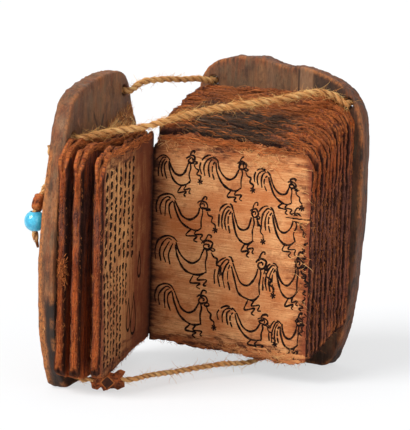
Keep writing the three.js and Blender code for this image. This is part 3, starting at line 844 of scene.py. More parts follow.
def near_segment(x, z, start, end, width):
    """One on a line between two points of a face, falling to nothing beside it."""
    start, end = np.array(start, float), np.array(end, float)
    run = end - start
    t = np.clip(((x - start[0]) * run[0] + (z - start[1]) * run[1]) / (run @ run), 0, 1)
    return np.exp(-((x - start[0] - t * run[0]) ** 2 + (z - start[1] - t * run[1]) ** 2) / width ** 2)


def window(value, from_low, from_high, to_low, to_high):
    """Rises from 0 to 1 over the first two values and falls back over the last two."""
    return smoothstep(from_low, from_high, value) * smoothstep(to_high, to_low, value)


def board_marks(local, front):
    """Pale, golden and dark places of a board, from points in its own frame. The dark places hold painted shade near
    the floor and, on the front board, painted shade between its inner face and its leaves; on the front board the pale
    place is a painted sheen.
    """
    x, y, z = local.T
    inner = smoothstep(2.2, 0.8, y)
    # Painted shade: both boards darker towards the floor.
    foot = 0.8 * smoothstep(16, 3, z + 3 * ripple(61, x / 9, y / 5, z / 9))
    if not front:
        pale = inner * window(x, 49.4, 49.9, 55.9, 56.6) * smoothstep(110, 116, z)
        pale = np.maximum(pale, 0.55 * inner * window(x, 32.5, 33.5, 36.5, 37.5))
        dark = inner * window(x, 56.0, 57.0, 71, 76) * smoothstep(112, 116, z)
        dark = np.maximum(0.85 * dark, near_segment(x, z, (49.2, 134), (49.4, 118), 0.55) * inner)
        dark = np.maximum(dark, 0.22 + 0.3 * smoothstep(68, 78, x))
        return pale, 0, np.maximum(dark, foot)
    edge = smoothstep(4.4, 5.6, y) * smoothstep(103, 98, z) * smoothstep(68, 74, x)
    low = smoothstep(75, 77, x) * window(z, 8, 13, 34, 42)
    low = low * np.exp(-((y - 5.0 - 0.5 * ripple(63, z / 6, 0, 0)) / 0.8) ** 2)
    wisps = ripple(62, (x + z) / 9, 0, (x - z) / 1.5)
    patch = inner * smoothstep(34, 24, x) * smoothstep(99, 103, z) * smoothstep(117, 108, z + 0.25 * x)
    gold = np.maximum(np.maximum(0.85 * edge, low), 0.9 * patch * smoothstep(-0.4, 0.4, wisps))
    cracks = near_segment(x, z, (45, 112.6), (40, 105), 0.7) + near_segment(x, z, (34.6, 111.5), (37.7, 105), 0.7)
    # Painted shade in the gap between the front board's inner face and its leaves, and low on that inner face.
    painted_gap_shade = smoothstep(4.4, 3.2, y) * smoothstep(66, 72, x) * smoothstep(43, 37, z + 1.5 * ripple(66, y / 2, z / 5, 0))
    foot = np.maximum(foot, np.maximum(painted_gap_shade, 0.8 * inner * smoothstep(34, 18, z)))
    # Painted sheen: a light patch on the front board's fore edge near its top, carried in the pale mask.
    sheen = 0.9 * np.exp(-((y - 3.2) ** 2 / 5 + (z - 111.5) ** 2 / 9)) * smoothstep(66, 70, x)
    return sheen, gold, np.maximum(np.clip(cracks, 0, 1) * inner, foot)


def make_board(side, outline, holes, board, seed, front, *notches):
    line = catmull_rom(outline, 300, closed=True)
    line[:, 1] = np.maximum(line[:, 1], 0)
    plate = prism("plate", line, 0, BOARD_THICKNESS)
    angles = np.linspace(0, 2 * np.pi, 28, endpoint=False)
    rings = [[(hx + HOLE_DIAMETER / 2 * np.cos(a), hz + HOLE_DIAMETER / 2 * np.sin(a)) for a in angles]
             for hx, hz in holes]
    cutters = [prism("cutter", ring, -CUT_BEYOND, BOARD_THICKNESS + CUT_BEYOND) for ring in (*rings, *notches)]
    for cutter in cutters:
        cut = plate.modifiers.new("cut", "BOOLEAN")
        cut.operation, cut.object, cut.solver = "DIFFERENCE", cutter, "EXACT"
    remesh = plate.modifiers.new("remesh", "REMESH")
    remesh.mode, remesh.voxel_size = "VOXEL", VOXEL
    relax = plate.modifiers.new("relax", "SMOOTH")
    relax.factor, relax.iterations = 0.5, RELAX_ROUNDS
    mesh = bpy.data.meshes.new_from_object(plate.evaluated_get(bpy.context.evaluated_depsgraph_get()))
    local, normal = read_vectors(mesh.vertices, "co"), read_vectors(mesh.vertices, "normal")
    faces = [tuple(p.vertices) for p in mesh.polygons]
    for made in (plate, *cutters):
        bpy.data.objects.remove(made)
    away = np.full(len(local), 99.0)
    for x, z in line[::2]:
        away = np.minimum(away, np.hypot(local[:, 0] - x, local[:, 2] - z))
    rim = smoothstep(4.5, 0.6, away)
    outer = smoothstep(0.6, 2.4, local[:, 1])
    carve = fractal(local / np.array([15, 15, 24]), seed) * 0.5 * outer
    grooves = noise(local * np.array([0.8, 0.8, 0.03]), seed + 4) * 0.16
    hacks = fractal(local / np.array([4.2, 4.2, 9.5]), seed + 6) * (0.1 + 0.75 * rim) * (0.15 + 0.85 * outer)
    hacks = hacks * (1 - 0.6 * smoothstep(70, 76, local[:, 0]) * smoothstep(112, 104, local[:, 2]))
    local = local + normal * (carve + grooves * (0.4 + 0.6 * outer) + hacks)[:, None]
    local[:, 2] = np.maximum(local[:, 2], 0)
    pale, gold, dark = board_marks(local, front)
    gold = gold * np.where(outer > 0.99, smoothstep(3.4, 1.0, away), 1)
    # Painted highlight: a light golden line along the edges of the boards' inner faces, which also eases the dark
    # there.
    painted_edge_highlight = smoothstep(2.0, 0.7, away) * smoothstep(2.2, 1.0, local[:, 1]) * smoothstep(-0.3, 0.4, noise(local / 5, 67))
    look = stack(rim * (0.5 if front else 1), pale, np.maximum(gold, 0.6 * painted_edge_highlight), dark * (1 - 0.5 * painted_edge_highlight))
    piece = add_mesh(side + "_board_carved", WOOD, board.at(*local.T), flipped(faces) if front else faces,
                     local + 100 * seed, look)
    place(piece, side + "_cover", "board_wood", side + "_board")


make_board("back", BACK_OUTLINE, (BACK_SPINE_HOLE, BACK_FORE_HOLE), BACK_BOARD, 3, False, BACK_CRACK)
make_board("front", FRONT_OUTLINE, (FRONT_SPINE_HOLE, FRONT_FORE_HOLE), FRONT_BOARD, 8, True)


# ---- Leaves ----

FOLD_ARC = 11
SLIT = 0.03
CLOSING_RISE, CLOSING_BACK, INNER_INSET = 0.22, 0.12, 0.75
# How much painted shade each leaf's panels take, 1 where a leaf is not listed; a value below zero paints light on them
# instead.
PANEL_SHADE_AND_LIGHT = {"front_leaf_3": -0.9, "front_leaf_2": -0.45, "front_leaf_1": 0.25}


class Leaf(Place):
    """A strip folded once at the fore edge. page is the side that is written on, or 0."""

    def __init__(self, name, body, origin, degrees, spine, fore, bottom, top, seed, tear, page, rise, hang,
                 weather=0.0, rust_low=0.35):
        super().__init__(origin, degrees)
        self.name, self.body, self.seed, self.tear, self.page = name, body, seed, tear, page
        self.spine_half, self.fore_half = spine / 2 + 0.1, fore / 2
        self.bottom, self.top, self.weather, self.rust_low = bottom, top, weather, rust_low
        self.rise, self.hang, self.front = rise, hang, name.startswith("front")
        self.width = LEAF_WIDTH + 0.5 * float(noise([seed * 1.7, 0.3, 0.9], 5))
        self.fold_centre = self.width - self.fore_half

    def half(self, x):
        return self.spine_half + (self.fore_half - self.spine_half) * smoothstep(0, LEAF_SPREAD, x)

    def corner(self, x, size, squareness):
        """How far a rounded corner takes the edge in at x."""
        bow = np.clip(x - (self.width + TOUCH - size), 0, size) / size
        return size * (1 - (1 - bow ** squareness) ** (1 / squareness))

    def upper(self, x):
        worn = (2.4 + 1.2 * ripple(3, self.seed, 0.4, 0.4)) * np.exp(-np.asarray(x) / 2.2)
        rise = between(self.rise, smoothstep(0, 60, x))
        if self.name == "back_leaf_11":
            rise = rise * smoothstep(74, 64, x)
        uneven = self.tear * 0.8 * ripple(17, np.asarray(x) / 19, self.seed * 2.7, 0.5)
        return self.top + rise - self.corner(x, TOP_CORNER, TOP_SQUARENESS) - worn + uneven

    def lower(self, x):
        squareness = FRONT_BOTTOM_SQUARENESS if self.front else BACK_BOTTOM_SQUARENESS
        return self.bottom - self.hang * smoothstep(20, 60, x) + self.corner(x, BOTTOM_CORNER, squareness)

    def warp(self, x, z):
        return 0.22 * smoothstep(4, 40, x) * ripple(self.seed, x / 24, z / 30, self.seed)

    def surface(self, x, z, side, lift=0.0):
        """Points on one face, clear of it by lift."""
        rough = 0.05 if side == self.page else 0.11
        relief = rough * ripple(self.seed + 2, x / 7, z / 2.6, 3 * side)
        return self.at(x, side * (self.half(x) + relief + lift) + self.warp(x, z), z)

    def layer(self, x, y, outer, high, low, side, v):
        """One layer's points, grain, look and wear, both with painted shade and light in them; x, y, high, low and side
        run round the fold, and v up it.
        """
        z = low[None, :] + (high - low)[None, :] * v[:, None]
        xs, sides = np.broadcast_to(x, z.shape), np.broadcast_to(side, z.shape)
        at_fold = smoothstep(self.fold_centre - 4, self.fold_centre, xs)
        ys = y[None, :] * (1 + 0.1 * ripple(21, z / 7, self.seed, 2) * at_fold)
        rough = np.where(np.sign(sides) == self.page, 0.05, 0.11) * outer
        coarse = rough * ripple(self.seed + 2, xs / 7, z / 2.6, 3 * np.sign(sides))
        fold = smoothstep(self.fold_centre - 3.5, self.fold_centre, xs)
        felt = ripple(self.seed + 6, xs / 1.5, ys / 0.8, z / 1.9)
        felt = 0.26 * outer * fold * (felt + 0.8 * ripple(self.seed + 7, xs / 0.9, ys / 0.6, z / 5.5))
        ys = ys + sides * coarse + self.warp(xs, z) + sides * felt * 0.6
        sway = 0.45 * ripple(22, z / 24, self.seed, 6) + 0.25 * ripple(23, z / 6.5, self.seed, 8)
        xs = xs + felt * 1.5 + fold * sway
        below, above = high[None, :] - z, z - low[None, :]
        near_top = smoothstep(6, 2.5, below) * window(xs, 8, 16, 50, 64)
        # Painted highlight: light lines along the shoulders of the fold, laid into the rim mask with the torn edges'
        # own orange.
        painted_fold_highlight = np.exp(-((np.abs(sides) - 0.3) / 0.25) ** 2) * smoothstep(self.fold_centre - 1, self.fold_centre, xs)
        rim = np.maximum(np.exp(-np.minimum(below, above) / 1.6),
                         0.75 * painted_fold_highlight * smoothstep(-0.1, 0.5, ripple(24, z / 5, self.seed, 5)))
        # Painted shade on the panels below the top, where the next leaf shades them, and in the creases beside each
        # fold; each leaf's value in the panel table scales it, and below zero it paints light.
        painted_shade_and_light = smoothstep(1.6, 4.2, below) * smoothstep(self.fold_centre - 0.5, self.fold_centre - 3, xs)
        crease = smoothstep(0.4, 0.86, np.abs(sides)) * smoothstep(0.4, 2.2, below)
        painted_shade_and_light = np.maximum(painted_shade_and_light * PANEL_SHADE_AND_LIGHT.get(self.name, 1.0),
                            crease * smoothstep(self.fold_centre - 3, self.fold_centre, xs))
        rust = np.maximum(smoothstep(26, 6, below) * smoothstep(52, 70, xs),
                          self.rust_low * smoothstep(95 if self.front else 46, 6, above))
        tone = 0.5 + 0.5 * float(noise([self.seed * 3.1, 0.2, 0.7], 9))
        # look: fold, rim with painted fold highlights, painted shade inside the fold, tone; wear: weather, rust,
        # painted shade and light, 1.
        return (self.at(xs, ys, z), stack(xs, ys, z), stack(fold, rim, 1 - outer, tone),
                stack(near_top * self.weather, rust, painted_shade_and_light * outer, 1))

    def make(self, material, columns, rows):
        """Two layers of points, outer and inner, closed at the spine ends and torn edges."""
        flat = TOUCH + (self.fold_centre - TOUCH) * np.linspace(0, 1, columns) ** 0.92
        phi = np.linspace(-np.pi / 2, np.pi / 2, FOLD_ARC + 2)[1:-1]
        half = self.half(flat)
        deep = np.maximum(half - PANEL_THICKNESS, 0.15)
        deep = deep + (SLIT - deep) * smoothstep(25, 58, flat)
        bend_in = max(self.fore_half - PANEL_THICKNESS, 0.15)
        x_out, x_in = (np.concatenate([flat, self.fold_centre + bend * np.cos(phi), flat[::-1]])
                       for bend in (self.fore_half, bend_in))
        y_out, y_in, side = (np.concatenate([-edge, bend * np.sin(phi), edge[::-1]]) for edge, bend in (
            (half, self.fore_half), (deep, SLIT), (np.ones(columns), 1)))
        many = len(x_out)
        t = np.linspace(0, 1, rows)
        v = 0.55 * t + 0.45 * (0.5 - 0.5 * np.cos(np.pi * t))
        run = np.arange(many) * 1.35
        steps = np.round(2 * ripple(15, run / 5.5, self.seed, 3)) / 2
        ragged = self.tear * (0.8 * ripple(11, run / 8, self.seed, 0) + 0.6 * ripple(12, run / 2.1, self.seed, 4)
                              + 0.7 * steps)
        frayed = self.tear * (0.7 * ripple(13, run / 7, self.seed, 7) + 0.4 * ripple(14, run / 1.9, self.seed, 9))
        low = self.lower(x_out) + frayed * (0.45 if self.front else 0.8)
        layers = [self.layer(x, y, outer, self.upper(x_out) + ragged * (0.8 + 0.2 * outer) - 0.15 * (1 - outer),
                             low, side, v) for x, y, outer in ((x_out, y_out, 1), (x_in, y_in, 0))]
        return self.close(layers, many, rows, material)

    def close(self, layers, many, rows, material):
        """Joins the two layers with a rounded edge all round."""
        (points, inner_points), (grain, _), (look, inner_look), (wear_and_shade, inner_wear_and_shade) = zip(*layers)
        extra = []
        for row, way in ((0, -1), (rows - 1, 1)):
            inner_look[row], inner_wear_and_shade[row] = look[row], wear_and_shade[row]
            extra.append(((points[row] + inner_points[row]) / 2 + way * CLOSING_RISE * UP, grain[row], look[row],
                          wear_and_shade[row]))
        for column in (0, many - 1):
            mid = points[:, column] * 0.55 + inner_points[:, column] * 0.45 + self.along * -CLOSING_BACK
            extra.append((mid, grain[:, column], look[:, column], wear_and_shade[:, column]))
            inner_points[:, column] += self.along * INNER_INSET
        verts, grains, looks, wears_and_shades = (np.vstack([value.reshape(-1, value.shape[-1]) for value in values])
                                       for values in zip(*[[*layer] for layer in layers], *extra))
        starts = np.concatenate([[0], np.cumsum([rows * many, rows * many, many, many, rows, rows])])
        faces = grid_faces(rows, many) + flipped(grid_faces(rows, many, starts[1]))

        def outer(row, column):
            return row * many + column

        def inner(row, column):
            return starts[1] + row * many + column

        for row, start, flip in ((0, starts[2], False), (rows - 1, starts[3], True)):
            for c in range(many - 1):
                pair = [(outer(row, c + 1), outer(row, c), start + c, start + c + 1),
                        (start + c + 1, start + c, inner(row, c), inner(row, c + 1))]
                faces += flipped(pair) if flip else pair
        for column, start, flip in ((0, starts[4], False), (many - 1, starts[5], True)):
            for r in range(rows - 1):
                pair = [(outer(r, column), outer(r + 1, column), start + r + 1, start + r),
                        (start + r, start + r + 1, inner(r + 1, column), inner(r, column))]
                faces += flipped(pair) if flip else pair
            for row, cap, other in ((0, starts[2] + column, not flip), (rows - 1, starts[3] + column, flip)):
                pair = [(outer(row, column), start + row, cap), (start + row, inner(row, column), cap)]
                faces += pair if other else flipped(pair)
        piece = add_mesh(self.name + "_bark", material, verts, faces, grains, looks)
        set_points(piece.data, "wear_and_shade", "FLOAT_COLOR", "color", wears_and_shades)
        return piece

    def fray(self, top_count=260, bottom_count=120, fold_count=240):
        """Loose fibres on the torn top and bottom, on the side that shows, and a nap on the fold."""
        rng = np.random.default_rng(900 + self.seed)
        seen = 1 if self.front else -1
        hairs = []

        def add(root, head, bend):
            hairs.append((root, head, bend))

        for _ in range(top_count):
            x = rng.uniform(2, self.fold_centre - 1)
            z = self.upper(x) - 1.9 * rng.random() ** 1.5
            size = rng.uniform(1.5, 7.0) * rng.choice([-1, 1])
            size = size if 1 < x + size < self.fold_centre else -size
            rise = self.upper(x + size) - self.upper(x)
            add(self.surface(x, z, seen, 0.08), self.along * size + UP * (rise + rng.normal(0.3, 0.5)),
                self.across * seen * rng.uniform(0, 0.7) + UP * rng.normal(0.1, 0.5))
        loose = len(hairs)
        for _ in range(26):
            x = rng.uniform(2, self.fold_centre - 16)
            size = rng.uniform(7, 15)
            rise = self.upper(x + size) - self.upper(x)
            root = self.surface(x, self.upper(x) - rng.uniform(0.2, 1.8), seen, 0.05)
            for _ in range(4):
                add(root + rng.normal(0, 0.14, 3), self.along * size + UP * (rise + rng.normal(0, 0.7)),
                    self.across * seen * rng.uniform(0, 0.5) + UP * rng.normal(0, 0.6))
        bundled = len(hairs)
        for _ in range(bottom_count):
            x = rng.uniform(2, self.fold_centre)
            size = rng.uniform(0.8, 3.6)
            add(self.surface(x, self.lower(x) + rng.uniform(0, 1.0), seen, 0.05),
                self.along * rng.normal(0, 0.9) * size + UP * (-0.45 * size),
                self.along * rng.normal(0, 0.5) + UP * rng.normal(0, 0.4))
        for _ in range(fold_count):
            phi = rng.uniform(-1.3, 1.3)
            z = rng.uniform(self.lower(self.width), self.upper(self.width))
            out = self.along * np.cos(phi) + self.across * np.sin(phi)
            size = rng.uniform(0.5, 1.6)
            add(self.at(self.fold_centre, 0, z) + out * (self.fore_half - 0.15),
                out * size * 0.35 + UP * rng.choice([-1, 1]) * size,
                (self.across * rng.normal(0, 0.15) + UP * rng.normal(0, 0.3)) * size)
        roots, heads, bends = zip(*hairs)
        radii = rng.uniform(0.05, 0.12, len(hairs))
        radii[loose:bundled] *= 2.0
        tones = rng.uniform(0, 1, len(hairs))
        tones[loose:bundled] = 0.25 + 0.75 * tones[loose:bundled]
        local = np.array(roots) @ self.along - self.origin @ self.along
        worn = (np.arange(len(hairs)) < bundled) & (local > 7) & (local < 62) & (rng.random(len(hairs)) < 0.8)
        return add_mesh(self.name + "_fibres", BARK_FIBRE, *hair_mesh(
            roots, heads, bends, radii, tones, self.seed, grey=0.9 * self.weather * worn))


def paint_hidden_side(piece, leaf):
    """The page's finish covers only its written side; the rest is plain bark."""
    polygons, normal = piece.data.polygons, leaf.across * leaf.page
    local = read_vectors(polygons, "center") / MM - leaf.origin
    written = ((read_vectors(polygons, "normal") @ normal > 0.3) & (local @ normal > 0.5)
               & (local @ leaf.along < leaf.fold_centre))
    piece.data.materials.append(BARK)
    polygons.foreach_set("material_index", np.where(written, 0, 1).astype(np.int32))
    piece.data.update()


def make_leaves():
    leaves = {}
    for i in range(BACK_LEAVES):
        part, node = i / (BACK_LEAVES - 1), f"back_leaf_{i + 1}"
        leaves[node] = Leaf(
            node, node if part < 1 else "back_cover", (0, (i + 0.5) * BACK_PITCH, 0),
            -BACK_FAN * (i + 0.5) / BACK_LEAVES, BACK_PITCH - TOUCH, BACK_FORE_THICKNESS, between(BACK_BOTTOMS, part),
            between(BACK_TOPS, part), seed=i + 2, tear=1.5 if i < 6 else 0.9, page=0 if i else -1,
            rise=(BACK_RISE_SPINE[i], BACK_RISE_FORE[i]), hang=0.3 if i else 1.3, weather=BACK_WEATHER[i])
    for i, angle in enumerate(FRONT_ANGLES):
        part, node = i / (FRONT_LEAVES - 1), f"front_leaf_{i + 1}"
        pitch = FRONT_PITCH * np.sin(np.radians(angle))
        origin = (-(i + 0.5) * FRONT_PITCH, 0, 0)
        if part == 1:
            origin = FRONT_BOARD.at(4, -(pitch / 2 + TOUCH), 0) - part_point(0, 0, 0)
        leaves[node] = Leaf(
            node, node if part < 1 else "front_cover", origin, -angle, pitch - TOUCH,
            FRONT_FORE_THICKNESS + FRONT_FORE_SWELL, between(FRONT_BOTTOMS, part), between(FRONT_TOPS, part),
            seed=30 + i, tear=1.0, page=0 if i else 1, rise=(FRONT_RISE[i], FRONT_RISE[i]), hang=FRONT_HANG[i],
            rust_low=1.6)
    for node, leaf in leaves.items():
        slot, finish, columns, rows = ("bark", BARK, 42, 88)
        if leaf.page:
            slot, finish, columns, rows = "page_bark", PAGE if leaf.page < 0 else TEXT_PAGE, 84, 96
        piece = place(leaf.make(finish, columns, rows), leaf.body, slot, node)
        if leaf.page:
            paint_hidden_side(piece, leaf)
        place(leaf.fray(), leaf.body, slot)
    return leaves


LEAVES = make_leaves()
DRAWN, WRITTEN, LAST_FRONT = (LEAVES[node] for node in ("back_leaf_1", "front_leaf_1", "front_leaf_3"))


# ---- Ink ----

STROKE_STEP = 0.42


def stroke(gathered, leaf, line, width, rng):
    """One inked line on a page: a thin raised ribbon that follows the surface."""
    count = max(3, int(length_of(line) / STROKE_STEP))
    line = evenly(np.asarray(line), count)
    along = np.gradient(line, axis=0)
    along /= np.linalg.norm(along, axis=1)[:, None] + 1e-9
    normal = np.stack([-along[:, 1], along[:, 0]], axis=1)
    t = np.linspace(0, 1, count)
    swell = 0.62 + 0.38 * np.sin(np.pi * np.clip(t, 0.04, 0.96)) ** 0.4
    swell *= 1 + 0.34 * ripple(31, t * length_of(line) / 1.6, rng.uniform(0, 90), 0)
    half = (width / 2 * swell)[:, None]
    points = np.stack([leaf.surface(p[:, 0], p[:, 1], leaf.page, lift) for p, lift in (
        (line + normal * half, -0.02), (line, 0.1), (line - normal * half, -0.02))], axis=1)
    faces = grid_faces(count, 3)
    gathered.add(points, flipped(faces) if leaf.page > 0 else faces, points.reshape(-1, 3), (0, 0, 0, 1))


# A line-drawn bird of the traditional kind, facing right, about 300 units tall
BIRD_STROKES = [
    [(-44, 128), (-50, 78), (-34, 22), (0, -4), (30, 4), (50, 32)],
    [(-22, 142), (-28, 88), (-14, 38), (12, 12), (30, 20)],
    [(4, 152), (-4, 98), (4, 50), (22, 26)],
    [(32, 166), (18, 112), (20, 64), (34, 40)],
    [(50, 32), (64, 88), (90, 138), (122, 158), (152, 140), (168, 106), (176, 76)],
    [(42, 46), (54, 112), (84, 188), (124, 226), (160, 230), (188, 212)],
    [(188, 212), (184, 160), (192, 112), (188, 84)],
    [(192 + r * np.cos(a), 60 + r * np.sin(a)) for r, a in zip(np.linspace(33, 6, 19), np.linspace(3.6, 13.4, 19))],
    [(180, 46), (184, 18), (198, -4), (212, 2), (208, 14)],
    [(212, 74), (232, 84), (216, 92), (206, 86)],
    [(134, 228), (112, 272), (164, 278), (150, 300), (166, 312)],
    [(164, 232), (150, 260), (194, 262), (182, 288), (196, 296)],
    [(214, 98), (222, 124), (240, 140), (238, 168), (256, 186), (254, 210)],
]
BROKEN_FEATHERS, BROAD_STROKES = (0, 3), (4, 5, 7)

# Each bird on the page, row by row: where its tail arches (x, z), its head (x, z), and its feet's height
BIRDS = [
    (4.4, 91.8, 18.7, 91.1, 75.4), (27.5, 94.1, 43.8, 91.0, 75.4), (53.5, 90.7, 68.1, 85.0, 72.8),
    (6.7, 75.0, 25.3, 71.8, 56.2), (36.6, 73.9, 50.4, 71.1, 52.4), (56.0, 75.1, 70.5, 71.6, 54.6),
    (7.3, 56.6, 27.9, 54.6, 35.8), (36.4, 50.8, 54.6, 49.5, 27.7), (58.9, 50.4, 72.4, 52.0, 32.3),
    (7.4, 35.7, 26.2, 30.6, 13.8), (38.7, 29.6, 56.5, 24.9, 12.1), (62.3, 26.1, 73.6, 26.8, 11.1),
]
ARCH_Y, HEAD_X, HEAD_Y, FEET_X, FEET_Y = -4, 192, 60, 168, 306


def make_drawing():
    rng = np.random.default_rng(4)
    ink = Gathered()

    def draw(line, width):
        stroke(ink, DRAWN, line, width, rng)

    for bird, (arch_x, arch_z, head_x, head_z, feet_z) in enumerate(BIRDS):
        wide = (head_x - arch_x) / HEAD_X
        # The bird's height and its upward slope towards the head, from the three measured heights
        tall, slope = np.linalg.solve([[ARCH_Y - HEAD_Y, HEAD_X], [ARCH_Y - FEET_Y, FEET_X]],
                                      [head_z - arch_z, feet_z - arch_z])
        for k, points in enumerate(BIRD_STROKES):
            shape = np.array(points, float)
            shape = shape + rng.normal(0, 2.2, shape.shape)
            x = arch_x + wide * shape[:, 0]
            z = arch_z - tall * (shape[:, 1] - ARCH_Y) + slope * shape[:, 0]
            line = catmull_rom(np.stack([x, z], axis=1), 60)
            line = line[(line[:, 0] > 1.5) & (line[:, 0] < 77) & (line[:, 1] > 9.5)]
            if len(line) < 6:
                continue
            width = 1.2 if k in BROAD_STROKES else 1.0
            if k in BROKEN_FEATHERS and bird % 3:
                for start in range(0, len(line) - 6, 24):
                    draw(line[start:start + 21], width)
            else:
                draw(line, width)
        star = np.array([arch_x + wide * 256, arch_z - tall * 226 + slope * 256])
        if star[0] < 74 and star[1] > 13:
            for angle in (0.3, 1.35, 2.4):
                arm = np.array([np.cos(angle), np.sin(angle)]) * 1.4
                draw([star - arm, star, star + arm], 1.0)
    for z in np.linspace(66, 24, 13):
        x = 74.6 + rng.normal(0, 0.6)
        curl = np.array([(x, z), (x + 1.3, z - 0.9), (x - 0.5, z - 1.6), (x + 1.0, z - 2.7)])
        draw(catmull_rom(curl + rng.normal(0, 0.2, curl.shape), 20), 0.85)
    draw([(65.5, 71.3), (71, 71.2), (77.2, 71.4)], 0.7)
    place(ink.piece("drawing_ink", INK), DRAWN.body, "page_bark")


SIGNS = [
    [(-1.1, 1.0), (0.9, 0.5), (-0.8, -0.2), (1.1, -1.0)],
    [(-1.2, 0.8), (0.2, 1.0), (0.4, -0.4), (-0.9, -1.0)],
    [(1.0, 1.0), (-0.9, 0.3), (1.0, -0.3), (0.2, -1.1)],
    [(-0.2, 1.2), (0.9, 0.2), (-0.6, -0.2), (0.1, -1.2)],
]


def make_text():
    """Columns of short strokes that stand for writing; they are no real signs."""
    rng = np.random.default_rng(9)
    ink = Gathered()

    def column(x0, lean, high, low, wide, thick, pitch):
        z = high
        while z > low:
            size = np.array([wide * rng.uniform(0.8, 1.15), rng.uniform(0.85, 1.45)])
            centre = np.array([x0 + lean * (z - high) + rng.normal(0, 0.2), z])
            sign = np.array(SIGNS[rng.integers(0, 4)]) * size + centre
            stroke(ink, WRITTEN, catmull_rom(sign, 16), thick * rng.uniform(0.8, 1.15), rng)
            z -= 2.2 * size[1] + rng.uniform(*pitch)

    for x0 in np.arange(72.5, 31, -6.6):
        column(x0, 0.02, 95 - rng.uniform(0, 3.5), 53, 1.5, 1.9, (1.1, 2.3))
    for x0 in np.arange(73.5, 37, -4.6):
        column(x0, 0.07, 51 - rng.uniform(0, 2), 12 if x0 > 46 else 33, 1.2, 1.4, (1.0, 1.6))
    t = np.linspace(-np.pi / 2, np.pi * 1.5, 24)
    for x0, z0, wide, tall in ((20, 47, 4.0, 5.5), (28, 27, 6.0, 9.0), (36, 28, 4.4, 7.0)):
        oval = np.stack([x0 + wide * np.cos(t) * np.cos(t / 2 - np.pi / 4) ** 2, z0 - tall * np.sin(t)], axis=1)
        stroke(ink, WRITTEN, catmull_rom(oval, 90), 1.5, rng)
    place(ink.piece("text_ink", INK), WRITTEN.body, "page_bark")


# ---- Fluff, scraps and the gutter ----

# Loose fibres of the drawing page: where (x, z), how far they spread, and how many
PAGE_WEAR = [((56, 94), (9, 5), 90), ((47, 98), (5, 3), 60), ((8, 96), (6, 4), 40), ((30, 99), (26, 2), 70),
             ((66, 11), (9, 2), 90), ((44, 11), (20, 2), 50), ((74, 60), (3, 28), 60)]
FLAKES = [[(45.6, 93.4), (44.0, 97.6), (47.5, 96.8), (53.4, 101.6), (51.5, 97.4), (49.2, 94.0)],
          [(66, 71.9), (72, 72.4), (77, 72.1), (76.4, 71.6), (70, 71.5)],
          [(67, 70.6), (73, 70.9), (77, 70.7), (76.6, 70.1), (70, 70.1)]]
FLAKE_AROUND = 26


def make_page_wear():
    """Fibres that have come loose from the drawing page, its torn scrap and its frayed lower corner."""
    rng = np.random.default_rng(77)
    leaf = DRAWN
    hairs = []
    for (x0, z0), (dx, dz), many in PAGE_WEAR:
        for _ in range(many):
            x = np.clip(x0 + rng.normal(0, dx / 2), 2, leaf.fold_centre - 1)
            z = np.clip(z0 + rng.normal(0, dz / 2), leaf.lower(x) + 0.2, leaf.upper(x) - 0.2)
            turn = rng.uniform(0, 2 * np.pi)
            size = rng.uniform(1.5, 6)
            hairs.append((leaf.surface(x, z, -1, 0.03), (leaf.along * np.cos(turn) + UP * (0.6 * np.sin(turn))) * size,
                          (leaf.along * rng.normal(0, 0.4) + UP * rng.normal(0, 0.4)) * size * 0.6
                          - leaf.across * rng.uniform(0, 0.3)))
    place(add_mesh("drawing_page_fibres", GOLD_FIBRE, *hair_mesh(
        *zip(*hairs), rng.uniform(0.09, 0.2, len(hairs)), rng.uniform(0, 1, len(hairs)), 78)), leaf.body, "page_bark")
    scraps, flakes, around = Gathered(), [*FLAKES], FLAKE_AROUND
    for _ in range(26):
        x, z = rng.uniform(48, 76), rng.uniform(9.0, 13.5)
        size = rng.uniform(1.2, 3.4)
        flakes.append([(x - size, z), (x - 0.3 * size, z + 0.35), (x + size, z + 0.2), (x + 0.7 * size, z - 0.5),
                       (x - 0.2 * size, z - 0.7 - 0.4 * rng.random())])
    for flake in flakes:
        line = catmull_rom(flake, around, closed=True)
        line = line + 0.12 * ripple(63, line[:, 0] / 0.9, line[:, 1] / 0.9, 3)[:, None]
        centre = line.mean(axis=0)
        flat = np.vstack([line, centre + (line - centre) * 0.6, centre])
        lift = np.repeat([0.02, 0.22, 0.3], [around, around, 1])
        lift = lift + 0.12 * ripple(64, flat[:, 0] / 1.4, flat[:, 1] / 0.8, 0)
        faces = grid_faces(2, around, wrap=True)
        faces += [(around + c, around + (c + 1) % around, 2 * around) for c in range(around)]
        if np.cross(np.roll(line, -1, axis=0) - centre, line - centre).sum() > 0:
            faces = flipped(faces)
        scraps.add(leaf.surface(flat[:, 0], flat[:, 1], -1, np.maximum(lift, 0.0)), faces,
                   stack(flat[:, 0] / 3 + 30, 0, flat[:, 1] / 3 + 30), (0, 0, 0, 1))
    place(scraps.piece("drawing_page_scraps", SCRAP), leaf.body, "page_bark")


